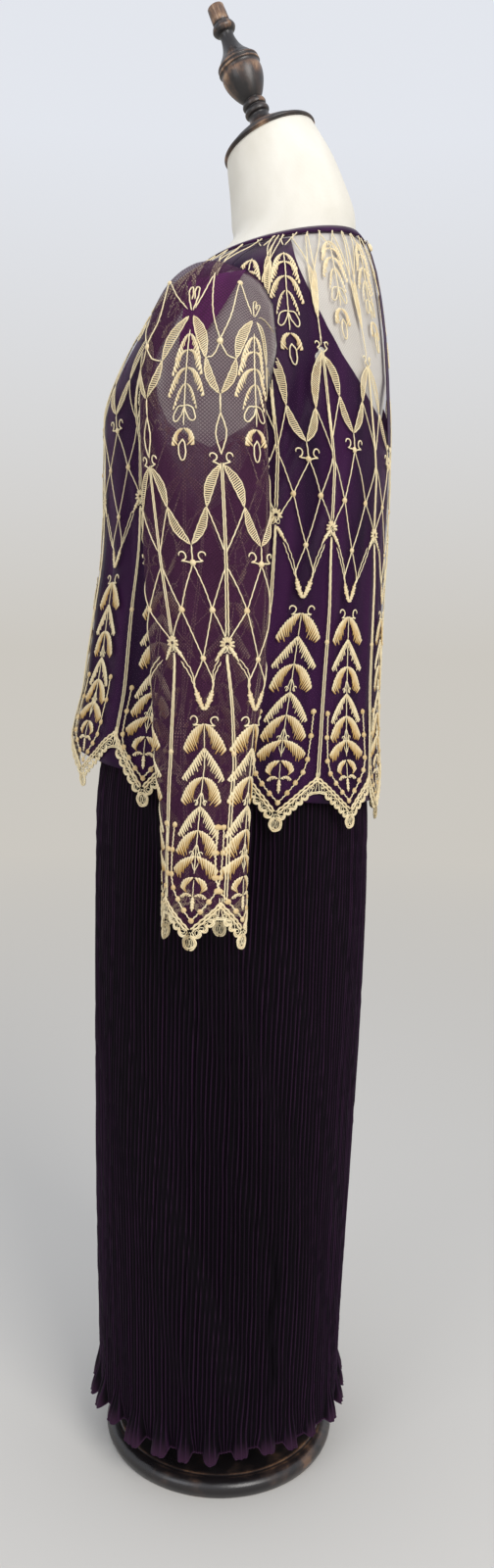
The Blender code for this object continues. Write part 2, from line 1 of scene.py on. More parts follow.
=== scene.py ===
# Skirt suit on a dress form: the looks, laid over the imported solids.
# Metres, +Z up, the front of the clothes faces -Y, the wearer's left is +X.

import math

import bpy
import numpy as np
from mathutils import Matrix, Vector


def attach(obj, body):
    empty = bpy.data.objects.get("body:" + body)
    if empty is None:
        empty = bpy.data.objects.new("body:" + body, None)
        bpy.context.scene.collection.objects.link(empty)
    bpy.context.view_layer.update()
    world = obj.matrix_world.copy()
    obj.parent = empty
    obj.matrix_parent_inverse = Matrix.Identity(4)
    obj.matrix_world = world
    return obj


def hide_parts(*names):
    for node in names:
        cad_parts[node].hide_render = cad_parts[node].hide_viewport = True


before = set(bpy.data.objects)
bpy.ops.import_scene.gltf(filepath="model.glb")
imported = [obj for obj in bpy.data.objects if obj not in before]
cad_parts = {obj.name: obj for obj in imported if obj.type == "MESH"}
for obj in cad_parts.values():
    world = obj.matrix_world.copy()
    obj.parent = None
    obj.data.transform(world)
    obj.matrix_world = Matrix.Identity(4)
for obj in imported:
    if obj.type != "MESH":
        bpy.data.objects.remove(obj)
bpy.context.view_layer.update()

# Sizes shared with the solids
BASE_THICK = 0.022
NECK_LEAN = math.radians(24.0)
CAP_CENTRE = (0.0, 0.033, 1.618)
CAP_HEIGHT = 0.0215
SEAM = 0.0003
FORM_OUT = -0.0031
BAND_VALLEY = 0.021
BAND_TIP = 0.026
CUFF_TIP_Z = 0.719
CUFF_VALLEY_Z = 0.755
HEM_Z = 0.066
SKIRT_TOP = 1.0892
SIDE = 92.0
NECK_TOP = 1.4795

# Pleats and flutes of the whole skirt
PLEATS = 188
PLEAT_HALF = 0.0016
FLUTES = 28

# Sections: height at y=0, rise per metre of y, front y, back y, half width, roundness
TUNIC = (
    (0.800, 0.00, -0.187, 0.184, 0.178, 2.05),
    (0.865, 0.00, -0.190, 0.183, 0.178, 2.05),
    (0.930, 0.00, -0.193, 0.181, 0.176, 2.05),
    (0.990, 0.00, -0.180, 0.180, 0.174, 2.05),
    (1.085, 0.00, -0.168, 0.181, 0.174, 2.10),
    (1.155, 0.00, -0.158, 0.182, 0.176, 2.10),
    (1.250, 0.00, -0.154, 0.183, 0.180, 2.15),
    (1.300, 0.00, -0.152, 0.181, 0.184, 2.20),
    (1.345, 0.02, -0.136, 0.178, 0.186, 2.15),
    (1.390, 0.05, -0.112, 0.173, 0.185, 2.05),
    (1.428, 0.09, -0.088, 0.166, 0.176, 2.00),
    (1.447, 0.12, -0.075, 0.161, 0.150, 2.00),
    (1.465, 0.15, -0.062, 0.154, 0.112, 2.00),
    (1.478, 0.17, -0.054, 0.147, 0.086, 2.00),
    (1.487, 0.19, -0.047, 0.139, 0.068, 2.00),
    (1.495, 0.20, -0.040, 0.137, 0.062, 2.00),
)
TORSO = (
    (0.780, 0.00, -0.108, 0.116, 0.126, 2.10),
    (0.830, 0.00, -0.124, 0.134, 0.142, 2.10),
    (0.920, 0.00, -0.128, 0.138, 0.144, 2.10),
    (1.000, 0.00, -0.112, 0.124, 0.135, 2.10),
    (1.090, 0.00, -0.102, 0.110, 0.128, 2.10),
    (1.155, 0.00, -0.114, 0.122, 0.138, 2.10),
    (1.200, 0.00, -0.130, 0.140, 0.150, 2.10),
    (1.250, 0.00, -0.144, 0.158, 0.164, 2.10),
    (1.300, 0.00, -0.147, 0.172, 0.175, 2.15),
)
NECK = (
    (1.508, 0.22, -0.010, 0.134, 0.060, 2.00),
    (1.530, 0.28, -0.010, 0.124, 0.056, 2.00),
    (1.562, 0.35, -0.0125, 0.108, 0.0535, 2.00),
    (1.588, 0.41, -0.0155, 0.092, 0.0525, 2.00),
    (1.6030, 0.445, -0.0165, 0.0825, 0.0525, 2.00),
)
SKIRT = (
    (0.040, 0.00, -0.156, 0.157, 0.154, 2.00),
    (0.125, 0.00, -0.159, 0.158, 0.157, 2.00),
    (0.420, 0.00, -0.166, 0.165, 0.162, 2.00),
    (0.830, 0.00, -0.167, 0.170, 0.164, 2.00),
    (0.930, 0.00, -0.152, 0.160, 0.163, 2.05),
    (1.010, 0.00, -0.127, 0.141, 0.152, 2.10),
    (1.0892, 0.00, -0.1055, 0.1135, 0.1315, 2.10),
)

# Armhole half width in degrees: height, tunic, lining
ARMHOLE = (
    (1.180, 0.0, 0.0),
    (1.200, 0.0, 9.0),
    (1.250, 0.0, 15.5),
    (1.275, 13.5, 18.5),
    (1.310, 19.5, 22.0),
    (1.350, 22.0, 24.5),
    (1.390, 19.5, 22.0),
    (1.410, 14.0, 16.5),
    (1.420, 8.5, 10.5),
    (1.428, 0.0, 0.0),
)

# Open back of the lining: height, angle of its edge from the front
OPEN_BACK = (
    (1.290, 180.0),
    (1.310, 163.0),
    (1.350, 144.0),
    (1.390, 132.0),
    (1.428, 122.0),
    (1.447, 117.0),
    (1.465, 112.0),
    (1.478, 108.0),
)

# Sleeve sections: inner x, inner z, outer x, outer z, middle y, half depth
SLEEVE = (
    (0.1832, 1.2460, 0.2010, 1.4330, 0.022, 0.0640),
    (0.1850, 1.2380, 0.2330, 1.4080, 0.023, 0.0655),
    (0.1858, 1.2250, 0.2540, 1.3480, 0.025, 0.0665),
    (0.1860, 1.2000, 0.2580, 1.2520, 0.028, 0.0665),
    (0.1862, 1.1300, 0.2590, 1.1400, 0.033, 0.0650),
    (0.1868, 1.0300, 0.2570, 1.0300, 0.036, 0.0600),
    (0.1880, 0.9100, 0.2530, 0.9100, 0.034, 0.0515),
    (0.1885, 0.8500, 0.2525, 0.8500, 0.035, 0.0475),
    (0.1890, 0.7700, 0.2530, 0.7700, 0.036, 0.0455),
    (0.1890, 0.6900, 0.2530, 0.6900, 0.036, 0.0455),
)

# Body hem: angle and lowest height of each point, the same of the notch after it
FRONT_NOTCH = 0.927
HEM_POINTS = (
    (13.5, 0.869, 26.5, 0.925),
    (40.0, 0.868, 63.0, 0.922),
    (75.5, 0.857, 87.0, 0.898),
    (98.5, 0.845, 110.0, 0.886),
    (121.2, 0.835, 137.8, 0.877),
    (153.4, 0.832, 167.0, 0.878),
    (180.0, 0.832, 180.0, 0.878),
)

# Angle of each column of leaves at rising lengths from its point, the top of its hanging spray,
# and how much higher its curls and joints sit than BODY_LEVELS
BODY_AT = (0.0, 0.25, 0.40, 0.52, 0.60, 0.68)
BODY_COLUMNS = (
    (13.5, 17.0, 17.0, 17.0, 16.0, 15.0, 0.640, 0.000),
    (40.0, 50.5, 50.5, 46.0, 42.0, 36.0, 0.636, -0.004),
    (75.5, 78.5, 78.5, 71.0, 65.0, 60.0, 0.622, 0.000),
    (98.5, 103.0, 103.0, 101.0, 99.0, 97.0, 0.600, 0.000),
    (121.2, 128.0, 128.0, 120.0, 115.5, 107.0, 0.624, -0.008),
    (153.4, 150.0, 150.0, 146.0, 141.0, 133.0, 0.662, 0.010),
    (180.0, 180.0, 180.0, 171.0, 161.5, 158.0, 0.662, 0.004),
)

# Angle of each column of leaves on the sleeve at rising lengths from the cuff, and of the line after it
SLEEVE_AT = (0.0, 0.10, 0.20, 0.31, 0.41, 0.52, 0.65)
SLEEVE_COLUMNS = (
    (8.0, 0.0, -11.0, -6.0, 3.0, 9.0, 1.0),
    (98.0, 96.0, 92.0, 94.0, 98.0, 102.0, 100.0),
    (190.0, 190.0, 188.0, 192.0, 198.0, 206.0, 206.0),
    (283.0, 283.0, 281.0, 289.0, 290.0, 296.0, 303.0),
)
SLEEVE_LINES = (
    (52.0, 48.0, 33.0, 24.0, 38.0, 50.0, 49.0),
    (144.0, 143.0, 140.0, 143.0, 148.0, 154.0, 153.0),
    (236.0, 236.0, 234.0, 240.0, 244.0, 251.0, 254.0),
    (321.0, 316.0, 312.0, 330.0, 332.0, 335.0, 336.0),
)

# Cuff points: angle round the sleeve from its outer side towards the front
CUFF_POINTS = (7.0, 98.0, 190.0, 283.0)


def smooth_rows(table, heights):
    """Smooth columns of a section table at any heights."""
    rows = np.asarray(table, float)
    z = rows[:, 0]
    slope = np.empty_like(rows)
    slope[1:-1] = (rows[2:] - rows[:-2]) / (z[2:] - z[:-2])[:, None]
    slope[0] = (rows[1] - rows[0]) / (z[1] - z[0])
    slope[-1] = (rows[-1] - rows[-2]) / (z[-1] - z[-2])
    h = np.clip(np.asarray(heights, float), z[0], z[-1])
    i = np.clip(np.searchsorted(z, h) - 1, 0, len(z) - 2)
    span = (z[i + 1] - z[i])[..., None]
    f = ((h - z[i]) / (z[i + 1] - z[i]))[..., None]
    a = (1 + 2 * f) * (1 - f) ** 2 * rows[i] + f * f * (3 - 2 * f) * rows[i + 1]
    b = f * (1 - f) ** 2 * slope[i] - f * f * (1 - f) * slope[i + 1]
    return a + b * span


def ring_points(table, v, t):
    """Points of the sections at heights v and angles t from the front."""
    row = smooth_rows(table, v)
    power = 2.0 / row[..., 5]
    s = np.sin(t)
    c = np.cos(t)
    x = row[..., 4] * np.sign(s) * np.abs(s) ** power
    middle = (row[..., 2] + row[..., 3]) / 2
    half = (row[..., 3] - row[..., 2]) / 2
    y = middle - half * np.sign(c) * np.abs(c) ** power
    z = np.asarray(v) + row[..., 1] * y
    return np.stack([x, y, z], -1)


def surface(table, v, t, out=0.0):
    """Points of a section table moved out along the surface."""
    v, t = np.broadcast_arrays(np.asarray(v, float), np.asarray(t, float))
    low = np.maximum(v - 0.0015, table[0][0])
    high = np.minimum(v + 0.0015, table[-1][0])
    along = ring_points(table, high, t) - ring_points(table, low, t)
    around = ring_points(table, v, t + 0.01) - ring_points(table, v, t - 0.01)
    normal = np.cross(around, along)
    normal /= np.linalg.norm(normal, axis=-1, keepdims=True)
    return ring_points(table, v, t) + normal * np.asarray(out)[..., None]


def smooth_step(x):
    x = np.clip(x, 0.0, 1.0)
    return x * x * (3 - 2 * x)


def through(a, b, c, d, f):
    """The point at a share f of the way from b to c, on a smooth curve through four points."""
    return 0.5 * (
        2 * b + (c - a) * f + (2 * a - 5 * b + 4 * c - d) * f * f + (3 * b - a - 3 * c + d) * f ** 3
    )


def run_length(points):
    """Length along a path up to each of its points."""
    return np.concatenate([[0.0], np.cumsum(np.linalg.norm(np.diff(points, axis=0), axis=1))])


def open_width(v, column):
    """Half width of an armhole at heights v, in degrees, with rounded corners."""
    rows = np.asarray(ARMHOLE)
    fine = np.arange(1.170, 1.440, 0.001)
    width = np.interp(fine, rows[:, 0], rows[:, column])
    return np.interp(v, fine, width)


def back_edge(v):
    rows = np.asarray(OPEN_BACK)
    return np.interp(v, rows[:, 0], rows[:, 1])


def hem_corners():
    corners = [(0.0, FRONT_NOTCH, FRONT_NOTCH + BAND_VALLEY)]
    for tip, low, between, notch in HEM_POINTS:
        corners.append((tip, low, low + BAND_TIP))
        corners.append((between, notch, notch + BAND_VALLEY))
    return np.asarray(corners[:-1])


CORNERS = hem_corners()


def hem_inner(angle):
    """Height of the upper edge of the lace at angles from the front, in degrees."""
    return np.interp(np.abs(angle), CORNERS[:, 0], CORNERS[:, 2])


def cuff_corners():
    tips = list(CUFF_POINTS) + [CUFF_POINTS[0] + 360.0]
    out = []
    for a, b in zip(tips[:-1], tips[1:]):
        out += [(a, CUFF_TIP_Z, BAND_TIP), ((a + b) / 2, CUFF_VALLEY_Z, BAND_VALLEY)]
    out.append((tips[-1], CUFF_TIP_Z, BAND_TIP))
    return np.asarray(out)


CUFFS = cuff_corners()


def cuff_inner(angle):
    turn = (np.asarray(angle) - CUFFS[0, 0]) % 360.0 + CUFFS[0, 0]
    return np.interp(turn, CUFFS[:, 0], CUFFS[:, 1] + CUFFS[:, 2])


# Soft folds of the tunic: angle, slant in degrees a metre, lowest and highest height, width in degrees, size
TUNIC_FOLDS = (
    (30.0, 20.0, 0.84, 1.10, 6.0, 0.0040),
    (58.0, -15.0, 0.84, 1.18, 5.0, 0.0035),
    (88.0, 10.0, 0.82, 1.22, 5.0, 0.0045),
    (112.0, 25.0, 0.82, 1.24, 4.5, 0.0050),
    (138.0, -10.0, 0.82, 1.16, 5.5, 0.0035),
    (166.0, 8.0, 0.82, 1.20, 4.5, 0.0040),
    (-22.0, 15.0, 0.84, 1.14, 6.5, 0.0042),
    (-52.0, 20.0, 0.84, 1.08, 5.0, 0.0034),
    (-80.0, -12.0, 0.82, 1.24, 4.5, 0.0048),
    (-104.0, -18.0, 0.82, 1.20, 5.0, 0.0046),
    (-131.0, 14.0, 0.82, 1.13, 5.5, 0.0036),
    (-158.0, -9.0, 0.82, 1.22, 5.0, 0.0043),
    (7.0, 5.0, 0.84, 1.05, 4.5, 0.0030),
)

# Hollows of the lining, the same columns
LINING_FOLDS = (
    (124.0, 150.0, 1.16, 1.40, 2.6, 0.0050),
    (116.0, 120.0, 1.14, 1.36, 2.2, 0.0045),
    (134.0, 110.0, 1.05, 1.30, 3.0, 0.0040),
    (70.0, -90.0, 1.10, 1.30, 3.0, 0.0050),
    (58.0, -60.0, 1.04, 1.26, 3.4, 0.0045),
    (40.0, 10.0, 0.94, 1.20, 3.5, 0.0060),
    (96.0, 8.0, 0.88, 1.18, 3.0, 0.0065),
    (150.0, -12.0, 0.88, 1.20, 3.6, 0.0055),
    (14.0, -14.0, 0.94, 1.18, 3.2, 0.0050),
    (172.0, 0.0, 0.88, 1.24, 2.6, 0.0045),
    (-121.0, -140.0, 1.16, 1.38, 2.8, 0.0048),
    (-113.0, -110.0, 1.12, 1.34, 2.2, 0.0046),
    (-136.0, -90.0, 1.04, 1.28, 3.0, 0.0042),
    (-66.0, 80.0, 1.10, 1.30, 3.0, 0.0050),
    (-50.0, 55.0, 1.00, 1.24, 3.2, 0.0044),
    (-30.0, -8.0, 0.94, 1.16, 3.6, 0.0058),
    (-99.0, -6.0, 0.88, 1.20, 3.0, 0.0060),
    (-155.0, 10.0, 0.88, 1.22, 3.4, 0.0052),
)


def folds(table, angle, v):
    """Sum of soft ridges at angles in degrees and heights v."""
    total = np.zeros(np.broadcast(angle, v).shape)
    for at, slant, low, high, width, size in table:
        middle = (low + high) / 2
        line = at + slant * (v - middle) + 1.2 * np.sin((v - low) * 31.0 + at)
        away = (angle - line + 180.0) % 360.0 - 180.0
        window = smooth_step((v - low) / 0.07 + 0.3) * smooth_step((high - v) / 0.09)
        total = total + size * np.exp(-(away / width) ** 2) * window
    return total


def tunic_out(angle, v):
    """How far the net stands off the drafted surface: soft folds, and points that lift a little."""
    near_hem = 1 - smooth_step((v - hem_inner(angle)) / 0.05)
    lift = 0.0022 * near_hem * np.cos(np.radians(angle * 9.0 + 40.0))
    return folds(TUNIC_FOLDS, angle, v) + lift


def lining_out(angle, v):
    """How far the lining lies inside the net."""
    gap = np.interp(v, (0.93, 1.08, 1.30, 1.36), (-0.0022, -0.0016, -0.0016, -0.00125))
    return gap + 0.6 * folds(TUNIC_FOLDS, angle, v) - folds(LINING_FOLDS, angle, v)


class Skin:
    """A surface as a fine table of points over an angle in degrees and a height, read smoothly."""

    def __init__(self, points, first_angle, angle_step, first_height, height_step):
        self.points = points
        self.a0 = first_angle
        self.da = angle_step
        self.h0 = first_height
        self.dh = height_step
        around = np.gradient(points, axis=0)
        along = np.gradient(points, axis=1)
        normal = np.cross(around, along)
        self.normals = normal / np.linalg.norm(normal, axis=-1, keepdims=True)
        self.metric = np.linalg.norm(around, axis=-1) / angle_step

    def read(self, grid, angle, height):
        i = np.clip((angle - self.a0) / self.da, 0.0, grid.shape[0] - 1.001)
        j = np.clip((height - self.h0) / self.dh, 0.0, grid.shape[1] - 1.001)
        i0 = i.astype(int)
        j0 = j.astype(int)
        fi = i - i0
        fj = j - j0
        if grid.ndim == 3:
            fi = fi[..., None]
            fj = fj[..., None]
        low = grid[i0, j0] * (1 - fi) + grid[i0 + 1, j0] * fi
        high = grid[i0, j0 + 1] * (1 - fi) + grid[i0 + 1, j0 + 1] * fi
        return low * (1 - fj) + high * fj

    def at(self, angle, height, out=0.0):
        angle, height = np.broadcast_arrays(np.asarray(angle, float), np.asarray(height, float))
        normal = self.read(self.normals, angle, height)
        normal /= np.linalg.norm(normal, axis=-1, keepdims=True)
        return self.read(
            self.points, angle, height
        ) + normal * np.broadcast_to(out, angle.shape)[..., None]


def tunic_skin():
    angle = np.arange(-190.0, 190.6, 1.0)
    height = np.arange(0.800, 1.4951, 0.004)
    a, v = np.meshgrid(angle, height, indexing="ij")
    points = surface(TUNIC, v, np.radians(a), tunic_out(wrapped(a), v))
    return Skin(points, angle[0], 1.0, height[0], 0.004)


def wrapped(angle):
    return (angle + 180.0) % 360.0 - 180.0


def armhole_loop(angle):
    """Points on the tunic body just inside its armhole, for the head of the left sleeve."""
    a = np.radians(angle)
    v = 1.3390 + 0.0884 * np.cos(a)
    width = open_width(v, 1) - 0.22
    t = SIDE - np.sign(np.sin(a)) * np.maximum(width, 0.02)
    return surface(TUNIC, v, np.radians(t), np.full(v.shape, 0.0014))


# Soft folds of the sleeve: angle, slant, lowest and highest length up from the cuff, width, size
SLEEVE_FOLDS = (
    (20.0, 60.0, 0.28, 0.62, 12.0, 0.0030),
    (-35.0, -40.0, 0.20, 0.58, 11.0, 0.0032),
    (75.0, 50.0, 0.16, 0.50, 13.0, 0.0028),
    (-85.0, 30.0, 0.24, 0.60, 12.0, 0.0030),
    (130.0, -60.0, 0.20, 0.46, 14.0, 0.0026),
    (-150.0, 40.0, 0.18, 0.42, 12.0, 0.0026),
    (0.0, -90.0, 0.42, 0.70, 9.0, 0.0026),
    (45.0, 120.0, 0.50, 0.70, 9.0, 0.0024),
    (-60.0, -120.0, 0.48, 0.70, 9.0, 0.0026),
)


def sleeve_skin():
    """The left sleeve over the angle from its outer side and the length up from the cuff."""
    angle = np.arange(-190.0, 551.0, 3.0)
    a = np.radians(angle)[:, None]
    rows = np.asarray(SLEEVE)
    c = np.cos(a)
    s = np.sin(a)
    x = (rows[:, 0] + rows[:, 2]) / 2 + (rows[:, 2] - rows[:, 0]) / 2 * c
    z = (rows[:, 1] + rows[:, 3]) / 2 + (rows[:, 3] - rows[:, 1]) / 2 * c
    y = rows[:, 4] - rows[:, 5] * s
    rings = np.stack([x, y, z], -1)
    rings = np.concatenate([armhole_loop(angle)[:, None], rings], axis=1)[:, ::-1]
    count = rings.shape[1]
    steps = 24
    slope = np.empty_like(rings)
    slope[:, 1:-1] = (rings[:, 2:] - rings[:, :-2]) / 2
    slope[:, 0] = rings[:, 1] - rings[:, 0]
    slope[:, -1] = rings[:, -1] - rings[:, -2]
    before = np.linalg.norm(rings[:, 1:-1] - rings[:, :-2], axis=-1, keepdims=True)
    after = np.linalg.norm(rings[:, 2:] - rings[:, 1:-1], axis=-1, keepdims=True)
    tangent = slope[:, 1:-1] / np.maximum(before + after, 1e-6) * 2
    dense = []
    for k in range(count - 1):
        span = np.linalg.norm(rings[:, k + 1] - rings[:, k], axis=-1, keepdims=True)
        first = tangent[:, k - 1] * span if k > 0 else rings[:, k + 1] - rings[:, k]
        last = tangent[:, k] * span if k < count - 2 else rings[:, k + 1] - rings[:, k]
        for f in np.linspace(0.0, 1.0, steps, endpoint=False):
            h = (1 + 2 * f) * (1 - f) ** 2 * rings[:, k] + f * f * (3 - 2 * f) * rings[:, k + 1]
            dense.append(h + f * (1 - f) ** 2 * first - f * f * (1 - f) * last)
    dense.append(rings[:, -1])
    dense = np.array(dense).transpose(1, 0, 2)
    length = np.concatenate(
        [np.zeros((len(angle), 1)), np.linalg.norm(np.diff(dense, axis=1), axis=-1)], axis=1
    )
    length = np.cumsum(length, axis=1) - (CUFF_TIP_Z - 0.690)
    height = np.arange(-0.024, 0.7601, 0.004)
    points = np.empty((len(angle), len(height), 3))
    for i in range(len(angle)):
        heading = dense[i, -1] - dense[i, -3]
        heading /= np.linalg.norm(heading)
        beyond = np.maximum(height - length[i, -1], 0.0)
        for k in range(3):
            points[i, :, k] = np.interp(height, length[i], dense[i, :, k]) + beyond * heading[k]
    plain = Skin(points, angle[0], 3.0, height[0], 0.004)
    plain.top = length[:, -1]
    aa, hh = np.meshgrid(angle, height, indexing="ij")
    outward = plain.normals * sleeve_sign(plain)
    amount = folds(SLEEVE_FOLDS, wrapped(aa), hh) * smooth_step((plain.top[:, None] - hh) / 0.06)
    moved = Skin(points + outward * amount[..., None], angle[0], 3.0, height[0], 0.004)
    moved.normals = moved.normals * sleeve_sign(moved)
    moved.top = plain.top
    return moved


def sleeve_sign(skin):
    i = int((0.0 - skin.a0) / skin.da)
    j = skin.points.shape[1] // 2
    return math.copysign(1.0, skin.normals[i, j, 0])


BODY = tunic_skin()
ARM = sleeve_skin()


def arm_top(angle):
    """Length of the sleeve from the cuff point's level to its head, at angles round it."""
    grid = np.arange(len(ARM.top)) * ARM.da + ARM.a0
    return np.interp(angle, grid, ARM.top)


# Meshes

def new_object(name, verts, faces, material, uv=None, values=None, flip=False):
    """An object from arrays of points and of quads or triangles."""
    verts = np.asarray(verts, np.float32).reshape(-1, 3)
    mesh = bpy.data.meshes.new(name)
    parts = [faces] if isinstance(faces, np.ndarray) else faces
    if flip:
        parts = [f[:, ::-1] for f in parts]
    loops = np.concatenate([f.reshape(-1) for f in parts])
    sizes = np.concatenate([np.full(len(f), f.shape[1]) for f in parts])
    starts = np.concatenate([[0], np.cumsum(sizes)[:-1]])
    mesh.vertices.add(len(verts))
    mesh.vertices.foreach_set("co", verts.reshape(-1))
    mesh.loops.add(len(loops))
    mesh.loops.foreach_set("vertex_index", loops.astype(np.int32))
    mesh.polygons.add(len(sizes))
    mesh.polygons.foreach_set("loop_start", starts.astype(np.int32))
    mesh.polygons.foreach_set("loop_total", sizes.astype(np.int32))
    mesh.polygons.foreach_set("use_smooth", np.full(len(sizes), True))
    mesh.update(calc_edges=True)
    if uv is not None:
        layer = mesh.uv_layers.new(name="cloth")
        layer.data.foreach_set("uv", np.asarray(uv, np.float32).reshape(-1, 2)[loops].reshape(-1))
    for key, data in (values or {}).items():
        attribute = mesh.attributes.new(key, "FLOAT", "POINT")
        attribute.data.foreach_set("value", np.asarray(data, np.float32).reshape(-1))
    obj = bpy.data.objects.new(name, mesh)
    bpy.context.scene.collection.objects.link(obj)
    mesh.materials.append(material)
    return obj


def grid_faces(rows, cols, closed=False):
    i = np.arange(rows - 1)[:, None]
    j = np.arange(cols if closed else cols - 1)[None, :]
    k = (j + 1) % cols
    quads = np.stack([i * cols + j, i * cols + k, (i + 1) * cols + k, (i + 1) * cols + j], -1)
    return quads.reshape(-1, 4)


def place(obj, slot, *nodes):
    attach(obj, "root")
    if nodes:
        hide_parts(*nodes)
    return obj


# Materials

def fill(tree, made, **inputs):
    """Set a node's inputs by name, with _ for a space. A socket given as a value is linked."""
    for key, value in inputs.items():
        name = key.replace("_", " ")
        if name not in made.inputs:
            setattr(made, key, value)
        elif isinstance(value, bpy.types.NodeSocket):
            tree.links.new(value, made.inputs[name])
        else:
            made.inputs[name].default_value = value
    return made


def node(tree, kind, **inputs):
    return fill(tree, tree.nodes.new("ShaderNode" + kind), **inputs)


def material(name, rough, specular, sheen=(), **inputs):
    """A material with its sheen as weight, roughness and tint."""
    mat = bpy.data.materials.new(name)
    mat.use_nodes = True
    tree = mat.node_tree
    shader = tree.nodes["Principled BSDF"]
    fill(tree, shader, Roughness=rough, Specular_IOR_Level=specular, **inputs)
    if sheen:
        weight, spread, tint = sheen
        fill(tree, shader, Sheen_Weight=weight, Sheen_Roughness=spread, Sheen_Tint=(*tint, 1.0))
    return mat, tree, shader


def coordinates(tree, kind, scale=(1.0, 1.0, 1.0)):
    source = tree.nodes.new("ShaderNodeTexCoord")
    return node(tree, "Mapping", Vector=source.outputs[kind], Scale=scale).outputs["Vector"]


def noise(tree, at, scale, detail, **options):
    return node(tree, "TexNoise", Vector=at, Scale=scale, Detail=detail, **options).outputs["Fac"]


def wave(tree, at, scale, distortion, direction):
    made = node(tree, "TexWave", Vector=at, Scale=scale, Distortion=distortion, bands_direction=direction)
    return made.outputs["Fac"]


def attribute(tree, name):
    return node(tree, "Attribute", attribute_name=name).outputs["Fac"]


def join(tree, operation, a, b):
    made = node(tree, "Math", operation=operation)
    tree.links.new(a, made.inputs[0])
    tree.links.new(b, made.inputs[1])
    return made.outputs["Value"]


def remap(tree, value, from_min, from_max, to_min=0.0, to_max=1.0):
    made = node(tree, "MapRange", Value=value)
    fill(tree, made, From_Min=from_min, From_Max=from_max, To_Min=to_min, To_Max=to_max)
    return made.outputs["Result"]


def mix(tree, factor, one, two, blend="MIX"):
    """Two colours mixed. The node's colour sockets share their names with others, so they go by number."""
    made = node(tree, "Mix", data_type="RGBA", blend_type=blend, Factor=factor)
    tree.links.new(one, made.inputs[6])
    if isinstance(two, bpy.types.NodeSocket):
        tree.links.new(two, made.inputs[7])
    else:
        made.inputs[7].default_value = two
    return made.outputs[2]


def ramp(tree, value, *stops):
    made = node(tree, "ValToRGB", Fac=value)
    elements = made.color_ramp.elements
    while len(elements) < len(stops):
        elements.new(0.5)
    for element, (at, colour) in zip(elements, stops):
        element.position = at
        element.color = (*colour, 1.0)
    return made.outputs["Color"]


def bump(tree, shader, height, strength, distance, **before):
    made = node(tree, "Bump", Height=height, Strength=strength, Distance=distance, **before)
    fill(tree, shader, Normal=made.outputs["Normal"])
    return made.outputs["Normal"]


def net_material(name, cover, colour):
    """Fine soft net: a diamond mesh of threads that lets most light through."""
    sheen = (0.05, 0.4, (0.75, 0.55, 0.85))
    mat, tree, shader = material(name, 0.7, 0.08, sheen, Base_Color=(*colour, 1.0))
    at = coordinates(tree, "UV")
    crossed = node(tree, "Mapping", Vector=at, Rotation=(0.0, 0.0, math.radians(90.0))).outputs["Vector"]
    most = join(tree, "MAXIMUM", *(wave(tree, way, 170.0, 0.4, "DIAGONAL") for way in (at, crossed)))
    threads = remap(tree, most, 0.45, 1.0, cover * 0.62, min(1.0, cover * 1.45))
    vary = remap(tree, noise(tree, at, 26.0, 3.0), 0.3, 0.7, 0.86, 1.14)
    fill(tree, shader, Alpha=join(tree, "MULTIPLY", threads, vary))
    return mat


def satin_material(name, dark, light):
    """Dense satin with a soft sheen and a very fine twill. Its soft streaks from the dark to the light
    colour are painted highlights.
    """
    mat, tree, shader = material(name, 0.42, 0.10, (0.04, 0.35, (0.65, 0.40, 0.85)), Anisotropic=0.45)
    at = coordinates(tree, "UV")
    # Vertical streaks of lighter colour: painted soft highlights.
    painted_highlight_streaks = noise(tree, coordinates(tree, "UV", (26.0, 3.5, 1.0)), 1.0, 3.0)
    fill(tree, shader, Base_Color=ramp(tree, painted_highlight_streaks, (0.34, dark), (0.66, light)))
    twill = bump(tree, shader, wave(tree, at, 420.0, 0.6, "DIAGONAL"), 0.12, 0.0002)
    bump(tree, shader, noise(tree, at, 60.0, 5.0), 0.10, 0.0008, Normal=twill)
    return mat


def pleat_material():
    """Dark crepe: deep aubergine, with a painted highlight on the pleat crests and painted shade in the
    troughs, and lighter at the curled hem.
    """
    mat, tree, shader = material("pleated_crepe", 0.55, 0.07, (0.03, 0.45, (0.55, 0.35, 0.70)))
    # Trough, middle and crest colours: painted shade in the troughs, a painted highlight on the crests.
    deep = (0.0012, 0.0006, 0.0015)
    middle = (0.0050, 0.0020, 0.0058)
    high = (0.0280, 0.0105, 0.0285)
    tone = ramp(tree, attribute(tree, "ridge_highlight"), (0.0, deep), (0.50, middle), (1.0, high))
    patches = noise(tree, coordinates(tree, "Object", (1.0, 1.0, 0.35)), 7.0, 5.0)
    shade = ramp(tree, patches, (0.3, (0.70, 0.68, 0.72)), (0.7, (1.25, 1.15, 1.30)))
    mixed = mix(tree, 1.0, tone, shade, "MULTIPLY")
    fill(tree, shader, Base_Color=mix(tree, attribute(tree, "hem"), mixed, (0.035, 0.013, 0.032, 1.0)))
    bump(
        tree, shader, noise(tree, coordinates(tree, "Object", (1.0, 1.0, 0.4)), 900.0, 2.0), 0.25, 0.0003
    )
    return mat


def thread_material(name, cream, gold):
    """Shiny embroidery thread, cream to gold, with its twist as a fine bump."""
    mat, tree, shader = material(name, 0.48, 0.45, (0.30, 0.30, (1.0, 0.93, 0.75)))
    at = coordinates(tree, "Object")
    vary = remap(tree, noise(tree, at, 140.0, 3.0), 0.3, 0.7, -0.16, 0.16)
    total = join(tree, "ADD", attribute(tree, "gold"), vary)
    middle = tuple((a + b) / 2 for a, b in zip(cream, gold))
    fill(tree, shader, Base_Color=ramp(tree, total, (0.0, cream), (0.55, middle), (1.0, gold)))
    bump(tree, shader, noise(tree, at, 900.0, 2.0), 0.45, 0.0005)
    return mat


